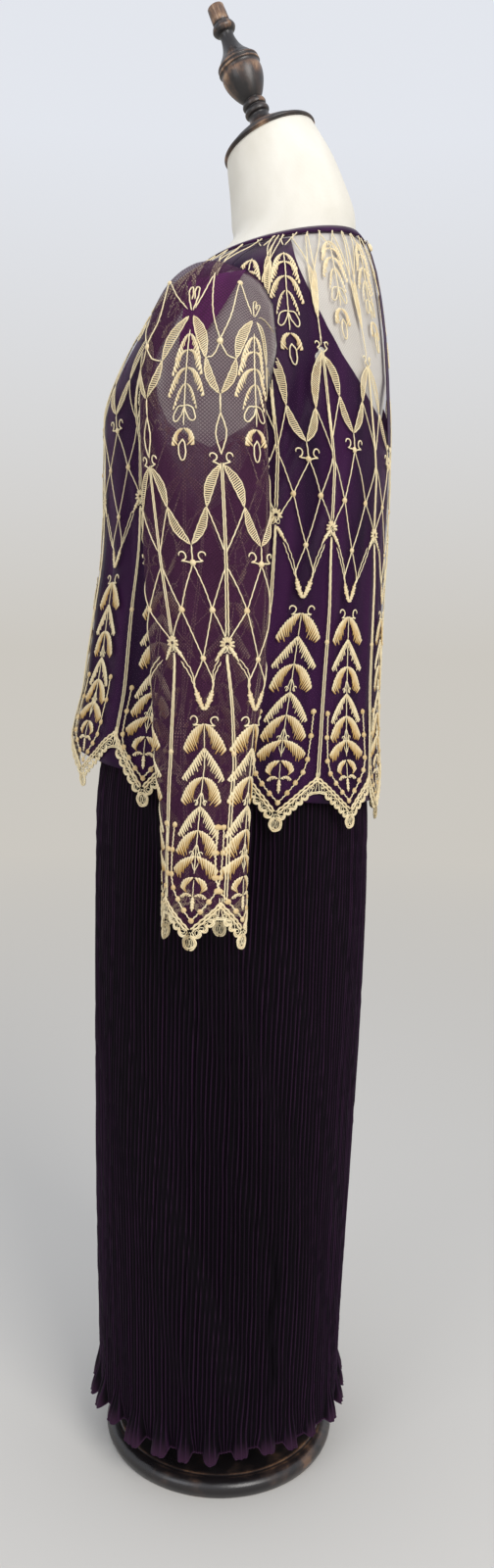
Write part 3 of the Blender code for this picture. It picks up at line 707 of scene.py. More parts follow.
def linen_material():
    """Off-white plain weave stretched over padding."""
    mat, tree, shader = material("form_linen", 0.9, 0.2, Sheen_Weight=0.15)
    at = coordinates(tree, "UV")
    warp = wave(tree, at, 260.0, 1.2, "X")
    weave = join(tree, "MULTIPLY", warp, wave(tree, at, 240.0, 1.2, "Y"))
    tone = ramp(
        tree, noise(tree, at, 14.0, 6.0), (0.30, (0.715, 0.695, 0.630)), (0.70, (0.815, 0.800, 0.745))
    )
    threads = ramp(tree, weave, (0.0, (0.90, 0.89, 0.87)), (0.6, (1.0, 1.0, 1.0)))
    fill(tree, shader, Base_Color=mix(tree, 1.0, tone, threads, "MULTIPLY"))
    bump(tree, shader, weave, 0.35, 0.0004)
    return mat


def wood_material(name, worn_and_highlit, gloss):
    """Dark stained wood, brown on its edges and high places from use. On the rings of the neck cap and the
    top rim of the base this lighter brown is also a painted highlight.
    """
    mat, tree, shader = material(name, 0.5, 0.5, Coat_Weight=0.25, Coat_Roughness=0.25)
    streak = noise(tree, coordinates(tree, "UV", (90.0, 22.0, 1.0)), 1.0, 6.0, Roughness=0.65)
    patch = noise(tree, coordinates(tree, "Object"), 34.0, 4.0)
    scaled = remap(tree, join(tree, "MULTIPLY", streak, patch), 0.16, 0.36, -0.35, 0.45)
    # The attribute holds wear, and on the cap and the base rim a painted highlight too.
    total = join(tree, "ADD", attribute(tree, "wear_and_highlight"), scaled)
    stain = (0.10, (0.010, 0.008, 0.009))
    brown = (0.42, (0.040, 0.026, 0.022))
    rubbed_and_highlit = (0.72, (0.150, 0.082, 0.048))
    tone = ramp(tree, total, stain, brown, rubbed_and_highlit, (1.00, worn_and_highlit))
    fill(tree, shader, Base_Color=tone, Roughness=remap(tree, streak, 0.0, 1.0, gloss, gloss + 0.25))
    bump(tree, shader, streak, 0.25, 0.0006)
    return mat


NET = net_material("net_body", 0.15, (0.060, 0.014, 0.066))
# The sleeve net is the body's net made denser and redder: a painted shade for the shadow inside the sleeves.
SLEEVE_NET_PAINTED_SHADE = net_material("net_sleeve", 0.56, (0.055, 0.016, 0.043))
SATIN = satin_material("lining_satin", (0.0050, 0.0014, 0.0110), (0.0360, 0.0078, 0.0430))
PAD_SATIN = satin_material("pad_satin", (0.115, 0.010, 0.125), (0.215, 0.022, 0.215))
BAND_SATIN = satin_material("band_satin", (0.020, 0.005, 0.026), (0.040, 0.010, 0.048))
CREPE = pleat_material()
THREAD = thread_material("cord_thread", (0.80, 0.70, 0.46), (0.46, 0.262, 0.052))
LINEN = linen_material()
WOOD = wood_material("turned_wood", (0.36, 0.23, 0.14), 0.30)
BASE_WOOD = wood_material("base_wood", (0.40, 0.27, 0.12), 0.18)


# Stand and form

# Turned profiles: radius and height
BASE_PROFILE = (
    (0.0, BASE_THICK), (0.0600, BASE_THICK), (0.1270, BASE_THICK), (0.1330, BASE_THICK),
    (0.1350, 0.0209), (0.1385, 0.0208), (0.1440, 0.0193), (0.1480, 0.0160), (0.1498, 0.0115),
    (0.1494, 0.0070), (0.1478, 0.0028), (0.1460, 0.0), (0.0, 0.0),
)
CAP_PROFILE = (
    (0.0, CAP_HEIGHT), (0.0225, CAP_HEIGHT), (0.0245, 0.0206), (0.0258, 0.0188), (0.0300, 0.0176),
    (0.0338, 0.0172), (0.0350, 0.0160), (0.0362, 0.0138), (0.0410, 0.0120), (0.0448, 0.0112),
    (0.0462, 0.0098), (0.0476, 0.0075), (0.0520, 0.0058), (0.0548, 0.0048), (0.0562, 0.0032),
    (0.0563, 0.0016), (0.0548, 0.0002), (0.0, 0.0),
)
FINIAL_PROFILE = (
    (0.0, 0.1500), (0.0092, 0.1500), (0.0097, 0.1494), (0.0101, 0.1400), (0.0102, 0.1310),
    (0.0092, 0.1290), (0.0118, 0.1272), (0.0135, 0.1235), (0.0136, 0.1212), (0.0118, 0.1182),
    (0.0084, 0.1160), (0.0080, 0.1120), (0.0090, 0.1050), (0.0112, 0.0980), (0.0148, 0.0915),
    (0.0190, 0.0862), (0.0214, 0.0826), (0.0238, 0.0806), (0.0248, 0.0786), (0.0240, 0.0768),
    (0.0250, 0.0752), (0.0252, 0.0736), (0.0238, 0.0722), (0.0234, 0.0700), (0.0240, 0.0664),
    (0.0237, 0.0610), (0.0222, 0.0545), (0.0192, 0.0470), (0.0154, 0.0400), (0.0120, 0.0352),
    (0.0104, 0.0334), (0.0126, 0.0318), (0.0140, 0.0288), (0.0136, 0.0260), (0.0116, 0.0242),
    (0.0132, 0.0228), (0.0146, 0.0200), (0.0141, 0.0170), (0.0118, 0.0150), (0.0118, 0.0130),
    (0.0134, 0.0090), (0.0162, 0.0052), (0.0186, 0.0028), (0.0190, 0.0), (0.0, 0.0),
)
POLE_TOP = 0.780 - SEAM

# Worn bands of the finial: height, half height, amount
FINIAL_WEAR = (
    (0.0640, 0.010, 0.34),
    (0.0070, 0.008, 0.45),
    (0.1215, 0.003, 0.12),
    (0.1040, 0.010, -0.15),
)


def rounded_profile(profile, steps, sharp):
    """More points on a turned profile, smooth but for the sharp ones, given by number."""
    p = np.asarray(profile, float)
    out = []
    for i in range(len(p) - 1):
        a = p[i - 1] if i > 0 and i not in sharp else 2 * p[i] - p[i + 1]
        d = p[i + 2] if i + 2 < len(p) and i + 1 not in sharp else 2 * p[i + 1] - p[i]
        for f in np.linspace(0.0, 1.0, steps, endpoint=False):
            out.append(through(a, p[i], p[i + 1], d, f))
    out = np.array(out + [p[-1]])
    out[:, 0] = np.maximum(out[:, 0], 0.0)
    return out


def turned(name, target, profile, segments, mat, wear_and_highlight, lean=0.0, at=(0.0, 0.0, 0.0)):
    """A turned piece from a fine profile, with its lightness at each ring: wear, and on some pieces a
    painted highlight.
    """
    a = np.linspace(0.0, 2 * math.pi, segments, endpoint=False)
    x = profile[:, :1] * np.cos(a)
    y = profile[:, :1] * np.sin(a)
    z = np.broadcast_to(profile[:, 1:], x.shape)
    cs = math.cos(lean)
    sn = math.sin(lean)
    points = np.stack([x + at[0], y * cs - z * sn + at[1], y * sn + z * cs + at[2]], -1)
    around = np.broadcast_to(a / (2 * math.pi) * 0.09, x.shape)
    uv = np.stack([around, np.broadcast_to(run_length(profile)[:, None], x.shape)], -1)
    worn_and_highlit = np.broadcast_to(wear_and_highlight[:, None], x.shape)
    faces = grid_faces(len(profile), segments, closed=True)
    place(new_object(name, points, faces, mat, uv, {"wear_and_highlight": worn_and_highlit}, flip=True), "wood", target)


def edge_wear_and_highlight(profile, size):
    """High where the profile turns outwards, low in its grooves."""
    step = np.diff(profile, axis=0)
    heading = np.unwrap(np.arctan2(step[:, 1], step[:, 0]))
    turn = np.zeros(len(profile))
    turn[1:-1] = -np.diff(heading)
    turn = np.convolve(turn, np.array([1, 2, 3, 2, 1]) / 9.0, mode="same")
    return np.clip(turn * size, -0.4, 0.6)


def stand():
    base = rounded_profile(BASE_PROFILE, 5, (1, 2, 3, 4, 10, 11))
    r, h = base.T
    wear_and_highlight = edge_wear_and_highlight(base, 2.2)
    # A lighter band on the top rim: rubbed wear and a painted highlight.
    wear_and_highlight += 0.42 * np.exp(-((r - 0.1352) / 0.0026) ** 2) * (h > 0.018)
    wear_and_highlight += 0.10 * (r < 0.133) * (h > 0.02) * smooth_step((r - 0.09) / 0.04)
    turned("round_base", "base", base, 128, BASE_WOOD, wear_and_highlight)
    pole = ((0.0, POLE_TOP), (0.0120, POLE_TOP), (0.0125, POLE_TOP - 0.0005))
    pole = np.array(pole + ((0.0125, BASE_THICK + 0.0005), (0.0, BASE_THICK + 0.0003)))
    turned("stand_pole", "pole", pole, 48, WOOD, np.zeros(len(pole)))
    cap = rounded_profile(CAP_PROFILE, 5, (1, 3, 7, 11, 16))
    # The cap's lighter rings and its raised level are a painted reflection.
    turned("neck_cap_wood", "neck_cap", cap, 72, WOOD, edge_wear_and_highlight(cap, 2.4) + 0.04, NECK_LEAN, CAP_CENTRE)
    up = (0.0, -math.sin(NECK_LEAN), math.cos(NECK_LEAN))
    foot = tuple(CAP_CENTRE[i] + up[i] * (CAP_HEIGHT + SEAM) for i in range(3))
    finial = rounded_profile(FINIAL_PROFILE, 4, (1, 2, 4, 5, 10, 16, 19, 22, 30, 34, 38, 42, 43))
    h = finial[:, 1]
    wear_and_highlight = edge_wear_and_highlight(finial, 1.4) + 0.10 + 0.42 * smooth_step((h - 0.127) / 0.006)
    for middle, half, amount in FINIAL_WEAR:
        wear_and_highlight += amount * np.exp(-((h - middle) / half) ** 2)
    turned("turned_finial", "finial", finial, 72, WOOD, wear_and_highlight, NECK_LEAN, foot)


# Heights of the form's rings on its body, and under the tunic's shoulders
BODY_RINGS = (
    0.780, 0.800, 0.830, 0.875, 0.920, 0.965, 1.010, 1.050, 1.0896, 1.115, 1.150, 1.180, 1.215, 1.250, 1.280,
)
SHOULDER_RINGS = (
    1.345, 1.375, 1.395, 1.410, 1.422, 1.432, 1.441, 1.450, 1.459, 1.467, 1.475, 1.482, 1.487
)


def form():
    """The padded linen form: body, shoulders and neck in one smooth surface."""
    t = np.radians(np.linspace(-180.0, 180.0, 97)[:-1])
    rings = [ring_points(TORSO, np.full_like(t, z), t) for z in BODY_RINGS]
    rings += [surface(TUNIC, np.full_like(t, z), t, np.full_like(t, FORM_OUT)) for z in SHOULDER_RINGS]
    rings += [ring_points(NECK, np.full_like(t, row[0]), t) for row in NECK]
    fine = []
    last = len(rings) - 1
    for i in range(last):
        b = rings[i]
        c = rings[i + 1]
        for f in np.linspace(0.0, 1.0, 4 if i > 25 else 2, endpoint=False):
            if i < 12 or i > 26:
                fine.append(through(rings[max(i - 1, 0)], b, c, rings[min(i + 2, last)], f))
            else:
                fine.append(b + (c - b) * f)
    points = np.array(fine + [rings[-1]])
    rows, cols = points.shape[:2]
    lengths = np.broadcast_to(run_length(points[:, 24])[:, None], (rows, cols))
    uv = np.stack([np.broadcast_to(np.degrees(t) * 0.002, (rows, cols)), lengths], -1)
    ends = [points[0].mean(0, keepdims=True), points[-1].mean(0, keepdims=True)]
    verts = np.concatenate([points.reshape(-1, 3), *ends])
    uv = np.concatenate([uv.reshape(-1, 2), uv[0, :1], uv[-1, :1]])
    ring = np.arange(cols)
    after = np.roll(ring, -1)
    high = (rows - 1) * cols
    bottom = np.stack([after, ring, np.full(cols, rows * cols)], -1)
    top = np.stack([high + ring, high + after, np.full(cols, rows * cols + 1)], -1)
    faces = [grid_faces(rows, cols, closed=True), bottom, top]
    place(new_object("linen_form", verts, faces, LINEN, uv), "linen", "form_torso")


stand()
form()


# Skirt

def pleat_height(t_deg, z):
    """Height of the pleats, -1 to 1, and how near each point is to a pleat's crest, which sets its painted
    highlight.
    """
    turn = np.radians(t_deg)
    wander = 2.6 * np.sin(z * 9.0 + 4.0 * turn) + 1.5 * np.sin(z * 21.0 + 9.0 * turn + 1.3)
    wander += 0.55 * np.sin(
        z * 47.0 + 23.0 * turn + 0.7
    ) + 0.30 * np.sin(z * 88.0 + 31.0 * turn) + 0.45 * np.sin(7.0 * turn + 0.4)
    phase = PLEATS * turn + wander
    number = np.floor(phase / (2 * math.pi))
    vary = 0.78 + 0.30 * np.sin(number * 12.9898) * np.sin(number * 4.1414 + z * 6.0)
    wave = 0.5 + 0.5 * np.cos(phase)
    shape = wave ** 1.7
    return (2.0 * shape - 0.9) * vary, shape * vary


def outward(t):
    return np.stack([np.sin(t), -np.cos(t), np.zeros_like(t)], -1)


def skirt():
    per_pleat = 8
    columns = PLEATS // 2 * per_pleat + 1
    heights = np.concatenate([
        np.linspace(0.0, 0.075, 18)[:-1],
        np.linspace(0.075, 0.82, 29)[:-1],
        np.linspace(0.82, SKIRT_TOP - HEM_Z, 8),
    ]) + HEM_Z
    for name, start, target in (
        ("pleated_skirt_front", -90.0, "skirt_front"), ("pleated_skirt_back", 90.0, "skirt_back")
    ):
        angle = start - 0.05 + np.linspace(0.0, 1.0, columns) * 180.1
        z, a = np.meshgrid(heights, angle, indexing="ij")
        t = np.radians(a)
        wander = 0.9 * np.sin(3.0 * t + 0.5) + 0.5 * np.sin(7.0 * t + 2.0)
        flute_phase = FLUTES * t + wander
        number = np.floor(flute_phase / (2 * math.pi) + 0.5)
        vary = 1.0 + 0.28 * np.sin(number * 12.9898) + 0.12 * np.sin(number * 4.1)
        peak = smooth_step((np.cos(flute_phase) + 0.20 * np.sin(number * 7.7) - 0.05) / 0.75)
        lobe = 2 * peak - 1
        reach = 1 - smooth_step((z - HEM_Z) / 0.052)
        flare = reach ** 2.0
        spread = 0.0025 * reach + flare * (0.0105 * peak * vary - 0.0025)
        curl = 0.0030 * flare * np.sin(flute_phase) * vary
        drop = flare * (0.0080 * peak * vary - 0.0025 + 0.0015 * np.sin(5.0 * t))
        height, ridge_highlight = pleat_height(a, z)
        calm = 1 - smooth_step((z - 0.98) / 0.10) * 0.6
        crush_line = 129.0 + 1.6 * np.sin((z - 0.15) * 60.0)
        crush = np.exp(
            -((a - crush_line) / 1.5) ** 2
        ) * smooth_step((z - 0.13) / 0.03) * smooth_step((0.36 - z) / 0.06)
        other_line = -52.0 + 1.8 * np.sin((z - 0.20) * 50.0)
        crush = crush + np.exp(
            -((a - other_line) / 1.7) ** 2
        ) * smooth_step((z - 0.20) / 0.04) * smooth_step((0.52 - z) / 0.08)
        size = PLEAT_HALF * calm * (1 - 0.35 * flare)
        slow = 0.0016 * np.sin(5.0 * t + z * 5.0) * smooth_step((0.9 - z) / 0.2)
        slow = slow + 0.0010 * np.sin(11.0 * t - z * 8.0 + 1.0) * smooth_step((0.9 - z) / 0.2)
        out = spread + height * size + slow - 0.0042 * crush * (0.6 + 0.4 * np.sin(z * 105.0))
        points = surface(SKIRT, np.maximum(z, 0.066), t) + outward(t) * out[..., None]
        points[..., 2] = z - drop
        side = np.stack([np.cos(t), np.sin(t), np.zeros_like(t)], -1)
        points = points + side * curl[..., None]
        hem = smooth_step((0.020 - (z - HEM_Z)) / 0.020) * smooth_step((lobe + 0.35) / 1.1)
        hem = np.clip(hem * 0.85 + 0.25 * np.clip(1 - (z - HEM_Z) / 0.003, 0, 1), 0, 1)
        # Crushed lines lose most of the painted highlight, a painted shade along them.
        ridge_highlight = np.clip(ridge_highlight * (1 - 0.75 * crush), 0, 1)
        rows, cols = z.shape
        uv = np.stack([a * 0.00283, z], -1).reshape(-1, 2)
        obj = new_object(name, points.reshape(-1, 3), [grid_faces(rows, cols)], CREPE, uv=uv,
                         values={"ridge_highlight": ridge_highlight.reshape(-1), "hem": hem.reshape(-1)})
        place(obj, "pleated", target)
        rim, sides = rope(points[0], 0.0008, 5)
        # The hem's edge tube takes the full painted highlight of a crest.
        shades = {"ridge_highlight": np.full(len(rim), 1.0), "hem": np.full(len(rim), 0.55)}
        edge = new_object(name + "_edge", rim, sides, CREPE, values=shades)
        place(edge, "pleated")


def rope(path, radius, sides):
    """Points and quads of a thin tube along a path in space."""
    path = np.asarray(path, float)
    tangent = np.gradient(path, axis=0)
    tangent /= np.linalg.norm(tangent, axis=1, keepdims=True)
    up = np.array([0.0, 0.0, 1.0])
    first = np.cross(tangent, up)
    short = np.linalg.norm(first, axis=1) < 1e-4
    first[short] = np.array([1.0, 0.0, 0.0])
    first /= np.linalg.norm(first, axis=1, keepdims=True)
    second = np.cross(tangent, first)
    a = np.linspace(0.0, 2 * math.pi, sides, endpoint=False)
    ring = first[:, None] * np.cos(a)[None, :, None] + second[:, None] * np.sin(a)[None, :, None]
    points = path[:, None] + ring * radius
    return points.reshape(-1, 3), [grid_faces(len(path), sides, closed=True)]


skirt()


# Lining

def lining():
    rows = 78
    cols = 108
    gap = 0.10

    def panel(name, low_at, high_at, count, target):
        f = np.linspace(0.0, 1.0, count)
        level = np.linspace(0.0, 1.0, rows)
        top = 1.4745
        v = np.empty((rows, count))
        a = np.empty((rows, count))
        for i, q in enumerate(level):
            nominal = 0.885 + q * (top - 0.885)
            low = low_at(nominal)
            high = high_at(nominal)
            a[i] = low + f * (high - low)
            hem = 0.895 - 0.035 * (1 - np.cos(np.radians(a[i]))) / 2 + 0.020 * (
                1 + np.cos(np.radians(a[i]))
            ) / 2
            blend = smooth_step((nominal - 0.885) / 0.12)
            v[i] = hem + (nominal - 0.885) - (hem - 0.885) * blend
        points = surface(TUNIC, v, np.radians(a), lining_out(a, v))
        uv = np.stack([a * 0.0031, v], -1).reshape(-1, 2)
        obj = new_object(name, points.reshape(-1, 3), [grid_faces(rows, count)], SATIN, uv=uv)
        solid = obj.modifiers.new("thickness", "SOLIDIFY")
        solid.thickness = 0.0005
        solid.offset = -1.0
        place(obj, "satin", target)
        return obj

    def front_edge(z):
        return 90.0 - gap - float(open_width(z, 2))

    def back_side(z):
        return 90.0 + gap + float(open_width(z, 2))

    def middle(z):
        return min(179.8, float(back_edge(z)))

    panel("satin_front", lambda z: -front_edge(z), front_edge, cols, "lining_front")
    panel("satin_back_left", back_side, middle, 64, "lining_back_left")
    panel(
        "satin_back_right", lambda z: -middle(z), lambda z: -back_side(z), 64, "lining_back_right",
    )


lining()


# Net of the tunic and sleeves

def net_panel(name, start, end, count, target, back):
    rows = 110
    base = np.linspace(start, end, count)
    both = np.concatenate([-CORNERS[::-1, 0], CORNERS[1:, 0]])
    kept = both[(both > start + 0.3) & (both < end - 0.3)]
    base = np.unique(np.concatenate([base, kept]))
    cols = len(base)
    hem = hem_inner(base) - 0.0015
    level = np.linspace(0.0, 1.0, rows) ** 0.95
    blend = smooth_step(level / 0.45)
    v = hem[None, :] * (1 - level[:, None]) + NECK_TOP * level[:, None]
    flat = 0.88 * (1 - level) + NECK_TOP * level
    v = v * (1 - blend[:, None]) + flat[:, None] * blend[:, None]
    width = open_width(flat, 1)
    edges = []
    for edge in (start, end):
        at_side = abs(abs(edge) - SIDE) < 1.0
        grow = math.copysign(1.0, edge) * (1.0 if back else -1.0)
        edges.append(edge + grow * width * at_side)
    low, high = edges
    a = low[:, None] + (base - start) / (end - start) * (high - low)[:, None]
    points = BODY.at(a, v, 0.0005)
    uv = np.stack([a * 0.0031, v], -1).reshape(-1, 2)
    obj = new_object(name, points.reshape(-1, 3), [grid_faces(rows, cols)], NET, uv=uv)
    place(obj, "tulle", target)
    return obj


def sleeve_net(side, name, target):
    angle = np.arange(0.0, 360.0, 5.0)
    extra = CUFFS[:-1, 0] % 360.0
    angle = np.unique(np.concatenate([angle, extra]))
    rows = 96
    low = cuff_inner(angle) - CUFF_TIP_Z - 0.0015
    top = arm_top(angle)
    level = np.linspace(0.0, 1.0, rows)[:, None]
    h = low + (top - low) * level
    a = np.broadcast_to(angle, h.shape)
    points = ARM.at(a, h, 0.0003)
    points = points * np.array([side, 1.0, 1.0])
    uv = np.stack([a * 0.0010, h], -1).reshape(-1, 2)
    obj = new_object(
        name, points.reshape(-1, 3), [grid_faces(rows, len(angle), closed=True)], SLEEVE_NET_PAINTED_SHADE, uv=uv,
        flip=side > 0
    )
    place(obj, "tulle", target)
    return obj


NETS = {
    "front": net_panel("net_front", -SIDE + 0.08, SIDE - 0.08, 140, "tunic_front", False),
    "back_left": net_panel("net_back_left", SIDE + 0.08, 179.85, 72, "tunic_back_left", True),
    "back_right": net_panel("net_back_right", -179.85, -SIDE - 0.08, 72, "tunic_back_right", True),
    "sleeve_left": sleeve_net(1, "net_sleeve_left", "sleeve_left"),
    "sleeve_right": sleeve_net(-1, "net_sleeve_right", "sleeve_right"),
}


# Embroidery, worked flat: across is a share of the way to the next line plus metres, height is metres up
# from the point of the hem, and out is metres off the net

SPAN = 0.040
CORD_SCALE = 0.88


class Work:
    """Threads worked flat, then laid on a skin."""

    def __init__(self):
        self.share = []
        self.across = []
        self.up = []
        self.out = []
        self.gold = []
        self.quads = []
        self.count = 0

    def add(self, share, across, up, out, gold, quads):
        shape = np.shape(up)
        for store, value in (
            (self.share, share), (self.across, across), (self.up, up), (self.out, out), (self.gold, gold)
        ):
            store.append(np.broadcast_to(np.asarray(value, float), shape).reshape(-1))
        self.quads.append(quads + self.count)
        self.count += int(np.prod(shape))

    def arrays(self):
        columns = [np.concatenate(c) for c in (self.share, self.across, self.up, self.out, self.gold)]
        return columns + [np.concatenate(self.quads)]


def resample(path, step):
    """Evenly spaced points on a smooth curve through the path, and its length."""
    p = np.asarray(path, float)
    if len(p) > 2:
        fine = []
        for i in range(len(p) - 1):
            a = p[i - 1] if i > 0 else 2 * p[i] - p[i + 1]
            d = p[i + 2] if i + 2 < len(p) else 2 * p[i + 1] - p[i]
            b = p[i]
            c = p[i + 1]
            f = np.linspace(0.0, 1.0, 8, endpoint=False)[:, None]
            fine.append(through(a, b, c, d, f))
        p = np.concatenate(fine + [p[-1:]])
    metric = np.stack([p[:, 0] * SPAN + p[:, 1], p[:, 2]], -1)
    length = run_length(metric)
    count = max(2, int(round(length[-1] / step)) + 1)
    at = np.linspace(0.0, length[-1], count)
    return np.stack([np.interp(at, length, p[:, k]) for k in range(3)], -1), length[-1]


def cord(
    work, path, radius=0.0008, gold=0.10, step=0.0037, sides=5, lift=0.0, wave=0.00022, pitch=0.009,
    phase=0.0
):
    """A couched cord along a path of (share, across, up)."""
    radius = radius * CORD_SCALE
    p, length = resample(path, step)
    metric = np.stack([p[:, 0] * SPAN + p[:, 1], p[:, 2]], -1)
    tangent = np.gradient(metric, axis=0)
    tangent /= np.maximum(np.linalg.norm(tangent, axis=1, keepdims=True), 1e-9)
    side = np.stack([tangent[:, 1], -tangent[:, 0]], -1)
    s = np.linspace(0.0, length, len(p))
    if wave:
        push = wave * np.sin(2 * math.pi * s / pitch + phase)
        p = p.copy()
        p[:, 1] += side[:, 0] * push
        p[:, 2] += side[:, 1] * push
    size = np.full(len(p), radius)
    size[0] *= 0.5
    size[-1] *= 0.5
    a = np.linspace(0.0, 2 * math.pi, sides, endpoint=False) + 0.3
    across = p[:, 1][:, None] + side[:, 0][:, None] * np.cos(a) * size[:, None]
    up = p[:, 2][:, None] + side[:, 1][:, None] * np.cos(a) * size[:, None]
    out = lift + size[:, None] * (0.9 + np.sin(a) * 0.95)
    share = np.broadcast_to(p[:, 0][:, None], up.shape)
    work.add(share, across, up, out, gold, grid_faces(len(p), sides, closed=True))


def bezier(a, b, c, n):
    f = np.linspace(0.0, 1.0, n)[:, None]
    return (1 - f) ** 2 * np.asarray(a) + 2 * f * (1 - f) * np.asarray(b) + f * f * np.asarray(c)


def leaf(
    work, share, start, bend, tip, broad, side, gold, lean=55.0, pitch=0.0032, rise=0.0013, shape=0.75,
    both=False
):
    """A satin-stitched leaf: a bright back edge with uneven stitches along one or both sides of it."""
    rough = bezier(start, bend, tip, 40)
    length = np.linalg.norm(np.diff(rough, axis=0), axis=1).sum()
    stitches = max(5, int(length / pitch))
    rows = stitches * 3 + 1
    spine = bezier(start, bend, tip, rows)
    tangent = np.gradient(spine, axis=0)
    tangent /= np.linalg.norm(tangent, axis=1, keepdims=True)
    turn = math.radians(lean) * side
    cs = math.cos(turn)
    sn = math.sin(turn)
    reach = np.stack(
        [tangent[:, 0] * cs - tangent[:, 1] * sn, tangent[:, 0] * sn + tangent[:, 1] * cs], -1
    )
    f = np.linspace(0.0, 1.0, rows)
    groove = (np.arange(rows) % 3) == 0
    number = np.arange(rows) // 3
    uneven = 1.0 + 0.17 * np.sin(number * 2.7 + start[0] * 900.0) + 0.10 * np.sin(number * 5.3)
    if both:
        size = broad * np.sin(math.pi * np.clip(f * 0.94 + 0.05, 0, 1) ** shape) ** 0.75 * uneven
        size = np.where(groove, size * 0.72, size)
        q = np.array([-1.0, -0.88, -0.40, 0.0, 0.40, 0.88, 1.0])
        high = np.array([0.05, 0.55, 0.9, 1.0, 0.9, 0.55, 0.05])
        mirror = np.stack(
            [tangent[:, 0] * cs + tangent[:, 1] * sn, -tangent[:, 0] * sn + tangent[:, 1] * cs], -1
        )
        points = spine[:, None] + np.where(
            (q < 0)[None, :, None],
            mirror[:, None] * (size[:, None] * -q)[..., None],
            reach[:, None] * (size[:, None] * q)[..., None],
        )
    else:
        size = broad * np.clip(f / 0.26 + 0.16, 0, 1) ** 0.6 * np.clip(
            (1.0 - f) / 0.24 + 0.10, 0, 1
        ) ** 0.6 * uneven
        size = np.where(groove, size * 0.16, size)
        q = np.array([-0.10, 0.03, 0.16, 0.50, 0.84, 1.0])
        high = np.array([0.10, 1.0, 0.80, 0.62, 0.50, 0.05])
        points = spine[:, None] + reach[:, None] * (size[:, None] * q)[..., None]
    out = high[None, :] * rise * np.where(groove, 0.45, 1.0)[:, None]
    out = out * np.clip(size / (broad * 0.35), 0.3, 1.0)[:, None]
    # Groove rows are pushed 0.25 towards gold: a painted shade in the gaps between stitches.
    tone = gold[0] + (gold[1] - gold[0]) * np.clip(np.abs(q), 0, 1)[None, :] + np.where(
        groove, 0.25, 0.0
    )[:, None]
    work.add(share, points[..., 0], points[..., 1], out + 0.0002, tone, grid_faces(rows, len(q)))


def dot(work, share, across, up, radius, gold=0.55, rise=0.0022):
    """A padded round knot."""
    a = np.linspace(0.0, 2 * math.pi, 9)[:-1]
    rings = ((1.0, 0.05), (0.86, 0.62), (0.52, 0.92), (0.05, 1.0))
    r = np.array([ring[0] for ring in rings])[:, None] * radius
    h = np.array([ring[1] for ring in rings])[:, None] * rise
    wobble = 1 + 0.07 * np.sin(3 * a + across * 3000.0 + up * 2000.0)
    work.add(
        share, across + r * np.cos(a) * wobble, up + r * np.sin(a) * wobble, np.broadcast_to(h, (4, 8)),
        gold, grid_faces(4, 8, closed=True)[:, ::-1]
    )


def curl(work, share, across, up, side, size, radius=0.0009, gold=0.08, foot=None):
    """A small spiral that springs from a stem."""
    a = np.linspace(0.0, 1.55 * math.pi, 12)
    r = size * (1.0 - 0.50 * a / a[-1])
    x = across + side * r * np.sin(a + math.pi)
    y = up - r * np.cos(a)
    path = [(share, xx, yy) for xx, yy in zip(x, y)]
    if foot is not None:
        path = [foot] + path
    cord(work, path, radius, gold, 0.0017)


def ladder(work, a, b, broad, bow, gold=0.15):
    """An open leaf filled with rungs, between two (share, across, up) ends."""
    a = np.asarray(a, float)
    b = np.asarray(b, float)
    f = np.linspace(0.0, 1.0, 15)
    d = np.array([(b[0] - a[0]) * SPAN + b[1] - a[1], b[2] - a[2]])
    length = np.linalg.norm(d)
    d /= length
    n = np.array([d[1], -d[0]])
    middle = a + (b - a) * f[:, None]
    arch = bow * np.sin(math.pi * f)
    half = broad / 2 * np.sin(math.pi * f) ** 0.8
    edges = []
    for sign in (1, -1):
        path = middle.copy()
        path[:, 1] += n[0] * (arch + sign * half)
        path[:, 2] += n[1] * (arch + sign * half)
        edges.append(path)
        cord(work, path, 0.00075, gold, 0.0026, 4)
    rungs = max(4, int(length / 0.0021))
    for k in range(1, rungs):
        q = k / rungs
        one = np.array([np.interp(q, f, edges[0][:, c]) for c in range(3)])
        two = np.array([np.interp(min(1.0, q + 0.05), f, edges[1][:, c]) for c in range(3)])
        strip(work, one, two, 0.00055, gold + 0.1)


def strip(work, a, b, half, gold):
    """One flat stitch between two points."""
    d = np.array([(b[0] - a[0]) * SPAN + b[1] - a[1], b[2] - a[2]])
    length = np.linalg.norm(d)
    if length < 0.0008:
        return
    n = np.array([d[1], -d[0]]) / length * half
    f = np.array([0.0, 0.5, 1.0])
    line = a + (b - a) * f[:, None]
    across = np.stack([line[:, 1] - n[0], line[:, 1], line[:, 1] + n[0]], -1)
    up = np.stack([line[:, 2] - n[1], line[:, 2], line[:, 2] + n[1]], -1)
    out = np.array([[0.0004, 0.0009, 0.0004]] * 3)
    share = np.broadcast_to(line[:, 0][:, None], up.shape)
    work.add(share, across, up, out, gold, grid_faces(3, 3))


